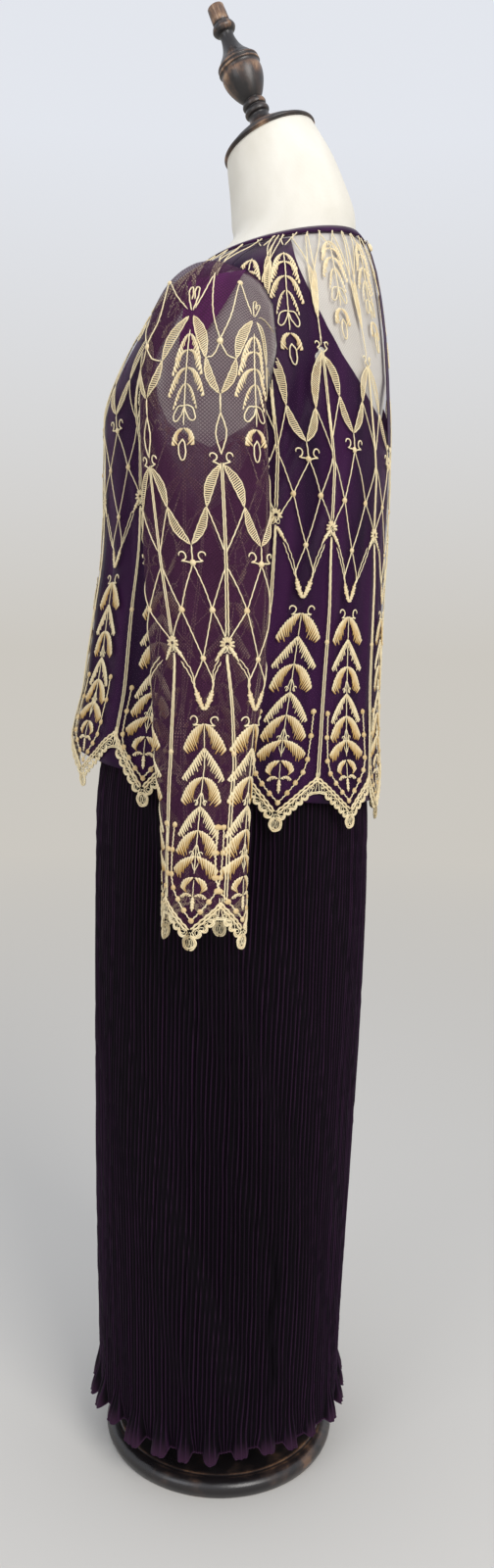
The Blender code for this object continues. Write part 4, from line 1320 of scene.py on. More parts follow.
# Leaf pairs of a column: apex height, tip height, half width, bends out and up, breadth, gold at both edges
PAIRS = (
    (0.2440, 0.2170, 0.0262, 0.62, 0.82, 0.0146, 0.10, 0.98),
    (0.2190, 0.1860, 0.0262, 0.52, 0.56, 0.0094, 0.02, 0.32),
    (0.1880, 0.1620, 0.0248, 0.70, 0.92, 0.0150, 0.10, 0.98),
    (0.1575, 0.1260, 0.0256, 0.60, 0.66, 0.0096, 0.02, 0.34),
    (0.1320, 0.1080, 0.0270, 0.66, 0.84, 0.0146, 0.12, 1.00),
    (0.1045, 0.0890, 0.0292, 0.60, 0.82, 0.0140, 0.16, 1.00),
    (0.0815, 0.0695, 0.0166, 0.90, 1.00, 0.0116, 0.14, 0.92),
)

# Knots that follow the point of the hem: across and up
KNOTS = (
    (0.0315, 0.1360),
    (0.0330, 0.1090),
    (0.0325, 0.0825),
    (0.0285, 0.0680),
    (0.0200, 0.0565),
    (0.0105, 0.0455),
    (0.0000, 0.0350),
)


def column(work, narrow=1.0):
    """A column of leaves above a point of the hem."""
    for apex, tip, half, out_bend, up_bend, broad, edge, inner in PAIRS:
        for side in (1, -1):
            half_here = half * narrow
            bend = (side * half_here * out_bend, tip + (apex - tip) * up_bend)
            start = (side * 0.0006, apex)
            leaf(work, 0.0, start, bend, (side * half_here, tip), broad, -side, (edge, inner), lean=58.0)
    for side in (1, -1):
        curl(work, 0.0, side * 0.0118, 0.2480, side, 0.0056, foot=(0.0, side * 0.0008, 0.2430))
        for apex, size in ((0.1680, 0.0030), (0.1130, 0.0036)):
            curl(
                work, 0.0, side * 0.0052, apex - 0.006, side, size, 0.0007, 0.05,
                foot=(0.0, side * 0.0006, apex + 0.004)
            )
        cord(
            work, [(0, side * 0.0002, 0.0890), (0, side * 0.0020, 0.0930), (0, side * 0.0036, 0.0980)],
            0.0006, 0.1
        )
        leaf(
            work, 0.0, (side * 0.0010, 0.0615), (side * 0.0085, 0.0680), (side * 0.0150, 0.0600), 0.0042,
            -side, (0.10, 0.35), lean=70.0
        )
    leaf(
        work, 0.0, (0.0, 0.0610), (0.0, 0.0530), (0.0, 0.0450), 0.0030, 1, (0.05, 0.25), lean=60.0,
        both=True
    )
    cord(work, [(0, 0, 0.2440), (0, 0, 0.2180)], 0.0007, 0.2)
    cord(work, [(0, 0, 0.2180), (0, 0, 0.0860)], 0.0007, 0.05)
    cord(work, [(0, 0, 0.0790), (0, 0, 0.0600)], 0.0006, 0.05)
    for side in (1, -1):
        for across, up in KNOTS:
            if side < 0 and across == 0.0:
                continue
            dot(work, 0.0, side * across * narrow, up, 0.0033, 0.62)
        knots = [(0.0, side * a * narrow, b) for a, b in KNOTS]
        for a, b in zip(knots[:-1], knots[1:]):
            cord(work, [a, b], 0.0010, 0.20, 0.0020, 4, wave=0.0005, pitch=0.005)


# Heights above the point of the hem: foot of the flame, its arms, first knot, side knots, second knot,
# foot of the open leaves, their joint, their top, and the fan's foot
BODY_LEVELS = (0.2600, 0.2980, 0.3170, 0.3700, 0.4140, 0.4330, 0.4680, 0.5170, 0.3390)
SLEEVE_LEVELS = (0.2580, 0.2960, 0.3110, 0.3600, 0.4060, 0.4250, 0.4620, 0.5030, 0.3280)


def lattice(work, levels):
    """Cords, knots and open leaves above a column, up to the hanging sprays."""
    foot, arms, first, sides, second, bottom, joint, top, fan = levels
    for side in (1, -1):
        leaf(
            work, 0.0, (side * 0.0004, foot), (side * 0.0062, foot + 0.010),
            (side * 0.0095, foot + 0.024), 0.0036, side, (0.10, 0.45), 58.0, both=True
        )
        for wide, lift in ((0.0, 0.0), (-0.06, 0.0035)):
            bend = (side * (0.44 + wide), 0, foot + 0.036 + lift)
            cord(
                work,
                [(0, side * 0.0088, foot + 0.020), bend, (side * (0.74 + wide), 0, fan - 0.020 + lift)],
                0.0007, 0.1, wave=0.0005
            )
        leaf(
            work, side * 0.99, (-side * 0.0006, fan - 0.004), (-side * 0.0050, fan - 0.008),
            (-side * 0.0120, fan - 0.020), 0.0028, side, (0.05, 0.25), 55.0, both=True
        )
        cord(
            work, [(0, side * 0.0092, foot + 0.022), (0, side * 0.0100, arms - 0.008), (0, 0, first)],
            0.0008, 0.1
        )
        cord(
            work, [(0, 0, first), (side * 0.22, 0, first * 0.58 + sides * 0.42), (side * 0.48, 0, sides)],
            0.0008, 0.1
        )
        cord(
            work, [(side * 0.48, 0, sides), (side * 0.26, 0, (sides + second) / 2), (0, 0, second)],
            0.0008, 0.1
        )
        cord(
            work, [(side * 0.48, 0, sides), (side * 0.76, 0, (sides + fan) / 2), (side * 1.0, 0, fan)],
            0.0008, 0.1
        )
        cord(
            work,
            [(side * 0.48, 0, sides), (side * 0.72, 0, sides + 0.020), (side * 0.97, 0, sides + 0.042)],
            0.0008, 0.1
        )
        cord(
            work,
            [(side * 0.51, 0, joint), (side * 0.72, 0, joint - 0.020), (side * 0.97, 0, joint - 0.044)],
            0.0008, 0.1
        )
        dot(work, side * 0.48, 0.0, sides, 0.0034, 0.45)
        curl(
            work, 0.0, side * 0.0110, second + 0.008, side, 0.0054,
            foot=(0.0, side * 0.0010, second + 0.001)
        )
        ladder(work, (side * 0.02, 0.0, bottom), (side * 0.50, 0.0, joint), 0.0082, side * 0.0030)
        ladder(work, (side * 0.52, 0.0, joint), (side * 0.95, 0.0, top), 0.0092, -side * 0.0036)
    cord(work, [(0, 0, second), (0, 0, bottom)], 0.0009, 0.1)
    dot(work, 0.0, 0.0, first, 0.0031, 0.35)
    dot(work, 0.0, 0.0, second + 0.001, 0.0034, 0.35)


def spray(work, top):
    """A hanging spray: pairs of leaves, open loops, a bell flower and its drop."""
    loops = top - 0.074
    bell = top - 0.0915
    cord(work, [(0, 0, top + 0.004), (0, 0.0004, top - 0.040), (0, 0, bell + 0.003)], 0.0008, 0.1)
    for side in (1, -1):
        leaf(
            work, 0.0, (side * 0.0005, top), (side * 0.0082, top - 0.002), (side * 0.0140, top - 0.026),
            0.0062, -side, (0.02, 0.30), 50.0
        )
        leaf(
            work, 0.0, (side * 0.0005, top - 0.016), (side * 0.0120, top - 0.014),
            (side * 0.0165, top - 0.040), 0.0066, -side, (0.04, 0.36), 50.0
        )
        leaf(
            work, 0.0, (side * 0.0005, top - 0.033), (side * 0.0130, top - 0.032),
            (side * 0.0195, top - 0.060), 0.0072, -side, (0.05, 0.40), 50.0
        )
        leaf(
            work, 0.0, (side * 0.0006, top - 0.048), (side * 0.0085, top - 0.050),
            (side * 0.0130, top - 0.073), 0.0036, -side, (0.03, 0.30), 50.0
        )
        loop = [
            (0, side * a, loops + b)
            for a, b in (
                (0, 0.005), (0.0080, 0.003), (0.0120, -0.007), (0.0085, -0.0105), (0.0030, -0.004),
                (0, 0.004)
            )
        ]
        cord(work, loop, 0.0008, 0.05, 0.0020)
        leaf(
            work, 0.0, (0.0, bell), (side * 0.0110, bell + 0.001), (side * 0.0122, bell - 0.0160), 0.0078,
            -side, (0.10, 0.60), 56.0
        )
    drop = [
        (0, a, bell + b)
        for a, b in (
            (0, -0.010), (0.0042, -0.0175), (0.0030, -0.0290), (0, -0.0310), (-0.0028, -0.0270),
            (-0.0034, -0.0175), (0, -0.010)
        )
    ]
    cord(work, drop, 0.0009, 0.08, 0.0020)


def palmette(work, share, up):
    """A small fan of petals with curls under it."""
    for degrees in (-105, -70, -35, 0, 35, 70, 105):
        a = math.radians(degrees)
        tip = (math.sin(a) * 0.0078, up + math.cos(a) * 0.0078)
        start = (math.sin(a) * 0.0018, up + math.cos(a) * 0.0018)
        bend = ((tip[0] + start[0]) / 2, (tip[1] + start[1]) / 2)
        leaf(
            work, share, start, bend, tip, 0.0019, 1, (0.05, 0.20), lean=62.0, both=True, pitch=0.0016,
            rise=0.0016
        )
    for side in (1, -1):
        loop = [
            (share, 0, up - 0.001), (share, side * 0.0038, up - 0.0040),
            (share, side * 0.0042, up - 0.0085), (share, side * 0.0012, up - 0.0080),
            (share, 0, up - 0.002)
        ]
        cord(work, loop, 0.0006, 0.05, 0.0020, 4)


def line_between(work, share, notch_up, levels, slim):
    """The stem between two columns: a double cord from the notch to the fan and on to the curls above it."""
    foot, arms, first, sides, second, bottom, joint, top, fan = levels
    for side in (1, -1):
        cord(
            work,
            [
                (share, side * 0.0014, notch_up), (share, side * 0.0014, 0.20),
                (share, side * 0.0006, fan - 0.012)
            ],
            0.00085, 0.08
        )
        middle = (share, side * 0.0011, (fan + top) / 2)
        cord(
            work, [(share, side * 0.0013, fan + 0.006), middle, (share, side * 0.0010, top + 0.002)],
            0.0008, 0.10
        )
        size = 0.0036 if slim else 0.0050
        curl(
            work, share, side * size * 1.8, top + 0.008, side, size, 0.0009, 0.05,
            foot=(share, side * 0.0008, top)
        )
    palmette(work, share, fan - 0.002)
    if slim:
        leaf(
            work, share, (0.0, 0.4660), (0.0, 0.4480), (0.0, 0.4300), 0.0020, 1, (0.05, 0.25), 55.0,
            both=True
        )
    dot(work, share, 0.0, 0.2130, 0.0030, 0.45)


def shoulder(work, top=0.70):
    """Cords and open leaves from the curls up to the neck seam."""
    for side in (1, -1):
        cord(work, [(side * 1.0, 0, 0.5280), (side * 0.99, 0, 0.5560)], 0.0007, 0.1)
        ladder(work, (side * 0.99, 0.0, 0.5560), (side * 0.86, 0.0, 0.6080), 0.0076, side * 0.0020)
        cord(
            work, [(side * 0.86, 0, 0.6080), (side * 0.52, 0, 0.6520), (side * 0.30, 0, top)], 0.0008, 0.1
        )
        cord(
            work, [(side * 0.86, 0, 0.6080), (side * 0.94, 0, 0.6560), (side * 1.0, 0, top)], 0.0008, 0.1
        )
        cord(
            work, [(side * 0.06, 0, 0.6520), (side * 0.40, 0, 0.6900), (side * 0.60, 0, top + 0.02)],
            0.0008, 0.1
        )


def sleeve_head(work):
    """The narrow diamond and second row of open leaves on the upper sleeve, and the cords above them."""
    for side in (1, -1):
        cord(
            work, [(side * 1.0, 0, 0.5130), (side * 0.86, 0, 0.5340), (side * 1.0, 0, 0.5540)], 0.0009,
            0.1
        )
        cord(work, [(side * 1.0, 0, 0.5540), (side * 0.995, 0, 0.5720)], 0.0009, 0.1)
        ladder(work, (side * 0.97, 0.0, 0.5720), (side * 0.56, 0.0, 0.6060), 0.0074, -side * 0.0028)
        ladder(work, (side * 0.55, 0.0, 0.6060), (side * 0.06, 0.0, 0.6480), 0.0098, side * 0.0030)
        cord(
            work, [(side * 0.56, 0, 0.6060), (side * 0.80, 0, 0.6090), (side * 1.0, 0, 0.6220)], 0.0008,
            0.1
        )
        loop = [
            (0, side * a, 0.6540 + b)
            for a, b in (
                (0.0008, 0), (0.0042, 0.0120), (0.0052, 0.0230), (0.0022, 0.0260), (0.0008, 0.0200),
                (0.0016, 0.0120)
            )
        ]
        cord(work, loop, 0.0009, 0.08, 0.0020)
        cord(
            work, [(side * 1.0, 0, 0.6240), (side * 0.70, 0, 0.6540), (side * 0.60, 0, 0.7000)], 0.0008,
            0.1
        )
        cord(
            work, [(side * 0.10, 0, 0.6560), (side * 0.34, 0, 0.6720), (side * 0.58, 0, 0.6950)], 0.0008,
            0.1
        )
    dot(work, 1.0, 0.0, 0.6230, 0.0034, 0.3)
    dot(work, 0.60, 0.0, 0.6960, 0.0034, 0.3)


def meridian(angle):
    """Heights on the tunic table as a function of length up a line at an angle."""
    v = np.arange(0.800, 1.4951, 0.002)
    points = BODY.at(np.full_like(v, angle), v)
    length = run_length(points) + 0.800
    return length, v


def lay_body(work, centre, left, right, tip_z):
    """Vertices of a worked strip on the body: centre and its two neighbours are rows of angles."""
    share, across, up, out, gold, quads = work.arrays()

    def line(row):
        return np.interp(up, BODY_AT, row[:6])

    middle = line(centre)
    other = np.where(share >= 0, line(right) - middle, middle - line(left))
    lengths, heights = meridian(float(centre[3]))
    v = np.interp(tip_z + up, lengths, heights)
    angle = middle + share * other
    metric = BODY.read(BODY.metric, angle, v)
    metric = np.maximum(metric, 0.0008)
    angle = angle + across / metric
    near = BODY.read(BODY.metric, angle, v)
    angle = angle + across * (1 / np.maximum(near, 0.0008) - 1 / metric) * 0.5
    return angle, v, out, gold, quads


def trimmed(angle, v, quads, keep):
    """Only the quads all of whose corners are kept."""
    good = keep(angle, v)
    return quads[good[quads].all(axis=1)]


def on_panel(low, high):
    def keep(angle, v):
        a = np.abs(angle)
        inside = (angle >= low) & (angle <= high) & (v < NECK_TOP - 0.0005)
        hole = (np.abs(a - SIDE) < open_width(v, 1) + 0.35) & (v > 1.24)
        return inside & ~hole
    return keep


def merge(parts):
    """One set of arrays from several laid strips."""
    angles, heights, outs, golds, quads = [], [], [], [], []
    count = 0
    for angle, v, out, gold, faces in parts:
        angles.append(angle)
        heights.append(v)
        outs.append(out)
        golds.append(gold)
        quads.append(faces + count)
        count += len(angle)
    return tuple(np.concatenate(values) for values in (angles, heights, outs, golds, quads))


def thin_out(points, gold, quads):
    """Drop the points that no quad uses."""
    used = np.unique(quads)
    index = np.full(len(points), -1)
    index[used] = np.arange(len(used))
    return points[used], gold[used], index[quads]


def body_columns():
    """Rows of angles of each column and of the lines beside it, and the height of its point."""
    lines = [(0.0,) * 6]
    for k in range(len(BODY_COLUMNS) - 1):
        halfway = [(x + y) / 2 for x, y in zip(BODY_COLUMNS[k][1:6], BODY_COLUMNS[k + 1][1:6])]
        lines.append((HEM_POINTS[k][2], *halfway))
    far = [360.0 - x for x in lines[-1][:3]] + [188.0, 181.0, 179.5]
    lines.append(tuple(far))
    return [(row, lines[k], lines[k + 1], HEM_POINTS[k][1]) for k, row in enumerate(BODY_COLUMNS)]


def body_parts():
    stem = Work()
    line_between(stem, 1.0, 0.062, BODY_LEVELS, True)
    laid = []
    for centre, left, right, low in body_columns():
        base = Work()
        column(base)
        levels = [x + centre[7] * lifts for x, lifts in zip(BODY_LEVELS, (0, 0, 0, 0, 1, 1, 1, 0, 0))]
        lattice(base, levels)
        spray(base, centre[6])
        shoulder(base)
        laid.append(lay_body(base, centre, left, right, low))
        if centre[0] < 179.0:
            laid.append(lay_body(stem, centre, left, right, low))
    mirrored = [(-angle, v, out, gold, quads[:, ::-1]) for angle, v, out, gold, quads in laid]
    front = Work()
    line_between(front, 1.0, 0.072, BODY_LEVELS, True)
    middle = lay_body(
        front, [-x for x in BODY_COLUMNS[0][:6]], [-30.0] * 6, [0.0] * 6, FRONT_NOTCH - 0.059
    )
    return laid + mirrored + [middle]


# Lace at the points: each slope of the zigzag is worked along its own line

def lace_slope(work, length, tip_first):
    """Cords of the border along one slope, from s=0 to its length; down is minus."""
    free = -0.0020
    joined = min(0.0210, length * 0.42)
    s0 = free if tip_first else joined
    s1 = length - (joined if tip_first else free)
    for offset, phase in ((-0.0010, 0.0), (-0.0040, math.pi)):
        path = [(0, s, offset) for s in np.linspace(0.0, length, 9)]
        cord(work, path, 0.00135, 0.24, 0.0016, 5, wave=0.0005, pitch=0.0078, phase=phase)
    count = max(2, int(round((s1 - s0) / 0.0098)))
    size = (s1 - s0) / count
    for offset, radius in ((0.0, 0.00110), (0.0019, 0.00100)):
        path = []
        for k in range(count):
            for q in np.linspace(0.0, 1.0, 7, endpoint=False):
                path.append(
                    (0, s0 + (k + q) * size, -(0.0092 + 0.0042 * math.sin(math.pi * q) ** 0.7) + offset)
                )
        path.append((0, s1, -0.0092 + offset))
        cord(work, path, radius, 0.18, 0.0016, 5)
    ovals = max(3, int(round((length - 0.012) / 0.0068)))
    start = 0.0 if tip_first else 0.012
    for k in range(ovals):
        x = start + (k + 0.5) * (length - 0.012) / ovals
        lean = 0.0012 if k % 2 else -0.0012
        oval = [
            (0, x + 0.0025 * math.cos(a) + lean * math.sin(a), -0.0078 + 0.0021 * math.sin(a))
            for a in np.linspace(0.0, 2 * math.pi, 9)
        ]
        cord(work, oval, 0.0006, 0.05, 0.0016, 4)


def lace_tip(work):
    """The ring at the end of a point, with petals inside it and small loops above it."""
    for radius, thick in ((0.0073, 0.00120), (0.0055, 0.00105)):
        ring = [
            (0, radius * math.sin(a), -0.0150 - radius * math.cos(a) * 1.06)
            for a in np.linspace(-3.1, 3.1, 19)
        ]
        cord(work, ring, thick, 0.20, 0.0016, 5)
    for side in (-1, 1):
        petal = [
            (0, side * 0.0017 + 0.0011 * math.cos(a), -0.0150 + 0.0044 * math.sin(a))
            for a in np.linspace(0.0, 2 * math.pi, 9)
        ]
        cord(work, petal, 0.00055, 0.05, 0.0016, 4)
        cord(
            work, [(0, side * 0.0022, -0.0030), (0, side * 0.0050, -0.0070), (0, side * 0.0066, -0.0115)],
            0.0009, 0.1, 0.0016, 4
        )
    oval = [
        (0, 0.0017 * math.cos(a), -0.0062 + 0.0024 * math.sin(a))
        for a in np.linspace(0.0, 2 * math.pi, 9)
    ]
    cord(work, oval, 0.0006, 0.05, 0.0016, 4)


def lace_notch(work):
    """The fork of the stem where two slopes meet, and the bar under it."""
    for side in (1, -1):
        cord(
            work, [(0, side * 0.0013, 0.004), (0, side * 0.0014, -0.010), (0, side * 0.0030, -0.0190)],
            0.0007, 0.08, 0.002, 4
        )
        oval = [
            (0, side * (0.0062 + 0.0022 * math.cos(a)), -0.0125 + 0.0018 * math.sin(a))
            for a in np.linspace(0.0, 2 * math.pi, 9)
        ]
        cord(work, oval, 0.0006, 0.05, 0.0016, 4)
    for drop in (0.0, 0.0016):
        cord(
            work, [(0, -0.0120, -0.0215 + drop), (0, 0.0, -0.0192 + drop), (0, 0.0120, -0.0215 + drop)],
            0.0008, 0.1, 0.002, 4
        )


def lay_lace(corners, metric_at):
    """Lace along a zigzag of (angle, height, kind) corners, kind 1 at a point and 0 at a notch."""
    parts = []
    for (a0, z0, k0), (a1, z1, k1) in zip(corners[:-1], corners[1:]):
        metric = metric_at((a0 + a1) / 2, (z0 + z1) / 2)
        run = np.array([(a1 - a0) * metric, z1 - z0])
        length = np.linalg.norm(run)
        along = run / length
        work = Work()
        lace_slope(work, length, k0 == 1)
        share, across, up, out, gold, quads = work.arrays()
        down = np.array([along[1], -along[0]])
        x = along[0] * across - down[0] * up
        z = along[1] * across - down[1] * up
        parts.append((a0 + x / metric, z0 + z, out, gold, quads))
    for angle, height, kind in corners:
        metric = metric_at(angle, height)
        work = Work()
        if kind == 1:
            lace_tip(work)
        else:
            lace_notch(work)
        share, across, up, out, gold, quads = work.arrays()
        parts.append((angle + across / metric, height + up, out, gold, quads))
    return parts


def hem_zigzag():
    left = [(a, inner, k % 2) for k, (a, low, inner) in enumerate(CORNERS)]
    right = [(-a, z, kind) for a, z, kind in left[::-1]][:-1]
    return right + left


def body_metric(angle, height):
    return float(BODY.read(BODY.metric, np.array(angle), np.array(height)))


def arm_metric(angle, height):
    return float(ARM.read(ARM.metric, np.array(angle), np.array(height)))


def make_threads(name, skin, parts, keep, slot, targets, side=1, base=0.0006):
    angle, v, out, gold, quads = merge(parts)
    quads = trimmed(angle, v, quads, keep)
    points = skin.at(angle, v, out + base)
    points, gold, quads = thin_out(points, gold, quads)
    points = points * np.array([side, 1.0, 1.0])
    obj = new_object(name, points, [quads], THREAD, values={"gold": gold}, flip=side < 0)
    place(obj, slot, *targets)
    return obj


def body_embroidery():
    parts = body_parts()
    zigzag = lay_lace(hem_zigzag(), body_metric)
    wrapped_lace = []
    for angle, v, out, gold, quads in zigzag:
        wrapped_lace.append((angle, v, out, gold, quads))
        if angle.max() > 179.0:
            wrapped_lace.append((angle - 360.0, v, out, gold, quads))
        if angle.min() < -179.0:
            wrapped_lace.append((angle + 360.0, v, out, gold, quads))
    panels = (("front", -SIDE, SIDE), ("back_left", SIDE, 179.95), ("back_right", -179.95, -SIDE))
    made = {}
    for word, low, high in panels:
        keep = on_panel(low, high)
        work = make_threads("embroidery_" + word, BODY, parts, keep, "cord", ())
        lace = make_threads(
            "lace_" + word, BODY, wrapped_lace, keep, "cord", ("hem_lace_" + word,), base=0.0004
        )
        made[word] = (work, lace)
    return made


def sleeve_parts():
    base = Work()
    column(base, 0.88)
    lattice(base, SLEEVE_LEVELS)
    spray(base, 0.6300)
    sleeve_head(base)
    line_between(base, 1.0, 0.056, SLEEVE_LEVELS, False)
    share, across, up, out, gold, quads = base.arrays()
    parts = []
    for k, row in enumerate(SLEEVE_COLUMNS):
        before = np.array(SLEEVE_LINES[k - 1]) - (360.0 if k == 0 else 0.0)
        middle = np.interp(up, SLEEVE_AT, row)
        left = np.interp(up, SLEEVE_AT, before)
        right = np.interp(up, SLEEVE_AT, SLEEVE_LINES[k])
        angle = middle + share * np.where(share >= 0, right - middle, middle - left)
        metric = np.maximum(ARM.read(ARM.metric, angle, up), 0.0003)
        parts.append((angle + across / metric, up.copy(), out, gold, quads))
    corners = [(a, z + b - CUFF_TIP_Z, 1 if abs(z - CUFF_TIP_Z) < 1e-6 else 0) for a, z, b in CUFFS]
    return parts, lay_lace(corners, arm_metric)


def sleeve_embroidery():
    parts, lace = sleeve_parts()
    made = {}

    def all_round(angle, v):
        return v < arm_top(angle) - 0.004

    def half(low, high):
        def keep(angle, v):
            return (angle >= low) & (angle <= high)
        return keep

    wrapped_lace = []
    for angle, v, out, gold, quads in lace:
        wrapped_lace.append((angle, v, out, gold, quads))
        if angle.max() > CUFFS[-1, 0] - 20.0:
            wrapped_lace.append((angle - 360.0, v, out, gold, quads))
    halves = (("front", CUFFS[0, 0], CUFFS[4, 0]), ("back", CUFFS[4, 0], CUFFS[8, 0]))
    for side, hand in ((1, "left"), (-1, "right")):
        work = make_threads("embroidery_sleeve_" + hand, ARM, parts, all_round, "cord", (), side)
        pieces = []
        for word, low, high in halves:
            piece = make_threads(
                f"lace_cuff_{hand}_{word}", ARM, wrapped_lace, half(low, high), "cord",
                (f"cuff_lace_{hand}_{word}",), side, 0.0004
            )
            pieces.append(piece)
        made["sleeve_" + hand] = (work, *pieces)
    return made


THREADS = body_embroidery()
THREADS.update(sleeve_embroidery())


# Neck binding, pads and closure

def binding():
    angle = np.linspace(-179.5, 179.5, 181)
    section = (
        (1.4792, 0.0004), (1.4792, 0.0016), (1.4830, 0.0019), (1.4866, 0.0014), (1.4870, 0.0),
        (1.4866, -0.0012), (1.4830, -0.0013), (1.4796, -0.0008)
    )
    rings = []
    for v, out in section:
        rings.append(surface(TUNIC, np.full_like(angle, v), np.radians(angle), np.full_like(angle, out)))
    rings = np.array(rings)
    uv = np.stack(
        [
            np.broadcast_to(angle * 0.0016, rings.shape[:2]),
            np.broadcast_to(np.arange(8)[:, None] * 0.001, rings.shape[:2])
        ],
        -1
    )
    quads = grid_faces(9, len(angle)) % (8 * len(angle))
    obj = new_object("neck_band", rings.reshape(-1, 3), [quads], BAND_SATIN, uv=uv.reshape(-1, 2))
    place(obj, "satin", "neck_binding")


def pads():
    """A folded end of satin that shows through the head of each sleeve."""
    for side, hand in ((1, "left"), (-1, "right")):
        rows, cols = 40, 40
        q, f = np.meshgrid(np.linspace(0.0, 1.0, rows), np.linspace(-1.0, 1.0, cols), indexing="ij")
        v = 1.350 + 0.074 * q
        back = SIDE + 6.0 - 14.0 * (1 - q)
        front = SIDE - 24.0 + 10.0 * (1 - q) ** 0.8
        a = front + (back - front) * (f + 1) / 2
        crease = 0.0026 * np.sin(f * 6.0 + q * 8.0) + 0.0020 * np.sin(f * 13.0 - q * 11.0 + 1.0)
        out = 0.0040 * (1 - q) * q * 4 * (1 - f * f) * 0.6 + crease * q * (1 - q) * (1 - f * f) * 4 + 0.0002
        points = surface(TUNIC, v, np.radians(a), out)
        points = points * np.array([side, 1.0, 1.0])
        uv = np.stack([a * 0.003, v], -1)
        obj = new_object(
            "folded_pad_" + hand, points.reshape(-1, 3), [grid_faces(rows, cols)], PAD_SATIN,
            uv=uv.reshape(-1, 2), flip=side < 0
        )
        place(obj, "satin", "shoulder_pad_" + hand)


def closure():
    for name in ("placket_left", "placket_right", "skirt_waistband"):
        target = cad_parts[name]
        target.data.materials.clear()
        target.data.materials.append(BAND_SATIN if "placket" in name else SATIN)
    a = np.linspace(0.0, 2 * math.pi, 17)[:-1]
    rings = ((1.0, 0.0), (1.06, 0.0012), (0.92, 0.0024), (0.55, 0.0031), (0.05, 0.0033))
    v = np.array([[1.4700 + 0.0036 * r * math.sin(x) for x in a] for r, h in rings])
    t = np.array([[177.0 + math.degrees(0.0036 / 0.125) * r * math.cos(x) for x in a] for r, h in rings])
    out = np.array([[0.0027 + h] * 16 for r, h in rings])
    points = surface(TUNIC, v, np.radians(t), out)
    button = new_object(
        "covered_button", points.reshape(-1, 3), [grid_faces(5, 16, closed=True)], THREAD,
        values={"gold": np.full(80, 0.2)}
    )
    place(button, "cord", "nape_button")
    loop_v = 1.4720 + 0.0048 * np.sin(np.linspace(-1.9, 1.9, 15))
    loop_t = 177.6 + 3.1 * np.cos(np.linspace(-1.9, 1.9, 15))
    path = surface(TUNIC, loop_v, np.radians(loop_t), np.full(15, 0.0034))
    points, faces = rope(path, 0.0006, 6)
    place(
        new_object("button_loop", points, faces, THREAD, values={"gold": np.full(len(points), 0.15)}),
        "cord"
    )


binding()
pads()
closure()


# Floor, light and camera

# Colour of the backdrop, below and above
LOW_WALL = (0.60, 0.575, 0.530)
HIGH_WALL = (0.770, 0.795, 0.850)

def floor():
    mesh = bpy.data.meshes.new("floor")
    size = 14.0
    mesh.from_pydata(
        [(-size, -size, 0.0), (size, -size, 0.0), (size, size, 0.0), (-size, size, 0.0)], [],
        [(0, 1, 2, 3)]
    )
    obj = bpy.data.objects.new("floor", mesh)
    bpy.context.scene.collection.objects.link(obj)
    mat, tree, shader = material("pale_floor", 0.8, 0.1, Base_Color=(0.60, 0.585, 0.555, 1.0))
    place_at = tree.nodes.new("ShaderNodeTexCoord").outputs["Object"]
    distance = node(tree, "VectorMath", Vector=place_at, operation="LENGTH")
    fade = remap(tree, distance.outputs["Value"], 0.7, 4.0)
    glow = node(tree, "Emission", Color=(*LOW_WALL, 1.0))
    blend = node(tree, "MixShader")
    for socket, source in enumerate((fade, shader.outputs[0], glow.outputs[0])):
        tree.links.new(source, blend.inputs[socket])
    output = next(n for n in tree.nodes if n.bl_idname == "ShaderNodeOutputMaterial")
    tree.links.new(blend.outputs[0], output.inputs[0])
    mesh.materials.append(mat)


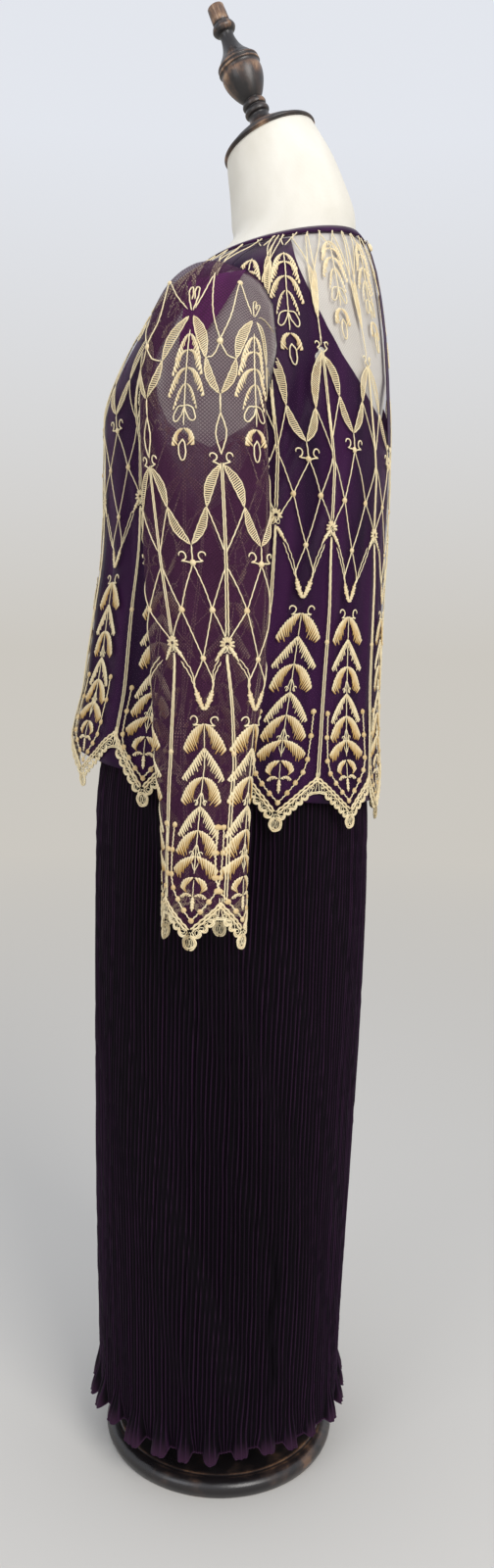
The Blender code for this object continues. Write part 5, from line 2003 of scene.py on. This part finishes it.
def area_light(name, place_at, aim, size, power, colour):
    light = bpy.data.lights.new(name, "AREA")
    light.shape = "RECTANGLE"
    light.size = size[0]
    light.size_y = size[1]
    light.energy = power
    light.color = colour
    obj = bpy.data.objects.new(name, light)
    bpy.context.scene.collection.objects.link(obj)
    obj.location = place_at
    obj.rotation_euler = (Vector(aim) - Vector(place_at)).to_track_quat("-Z", "Y").to_euler()


def studio():
    world = bpy.data.worlds.new("studio")
    bpy.context.scene.world = world
    world.use_nodes = True
    tree = world.node_tree
    background = tree.nodes["Background"]
    direction = tree.nodes.new("ShaderNodeTexCoord").outputs["Generated"]
    apart = node(tree, "SeparateXYZ", Vector=direction)
    height = remap(tree, apart.outputs["Z"], -0.02, 0.36)
    tone = ramp(tree, height, (0.0, LOW_WALL), (1.0, HIGH_WALL))
    fill(tree, background, Color=tone, Strength=1.0)
    bpy.context.scene.view_settings.view_transform = "Standard"
    area_light("key", (1.9, 1.9, 2.5), (0.0, 0.0, 1.0), (1.4, 2.0), 62.0, (1.0, 0.97, 0.93))
    area_light("fill", (2.4, -1.0, 1.9), (0.0, 0.0, 1.0), (1.2, 1.8), 16.0, (0.95, 0.96, 1.0))


def camera():
    """The photo's view: from the wearer's left and a little behind, at chest height."""
    azimuth = math.radians(106.0)
    pitch = math.radians(7.6)
    roll = math.radians(1.1)
    toward = Vector((math.sin(azimuth), -math.cos(azimuth), 0.0))
    forward = -toward * math.cos(pitch) + Vector((0.0, 0.0, -math.sin(pitch)))
    level = (-toward).cross(Vector((0.0, 0.0, 1.0)))
    above = level.cross(forward)
    right = level * math.cos(roll) + above * math.sin(roll)
    up = above * math.cos(roll) - level * math.sin(roll)
    data = bpy.data.cameras.new("camera")
    data.sensor_fit = "VERTICAL"
    data.sensor_height = 36.0
    data.lens = 27.0
    data.shift_x = 16.5 / 1600.0
    data.clip_end = 60.0
    obj = bpy.data.objects.new("camera", data)
    bpy.context.scene.collection.objects.link(obj)
    distance = 1.463
    eye_height = 1.062
    spot = toward * distance + Vector((0.0, 0.0, eye_height))
    turn = Matrix((right, up, -forward)).transposed().to_4x4()
    obj.matrix_world = Matrix.Translation(spot) @ turn
    bpy.context.scene.camera = obj


floor()
studio()
camera()
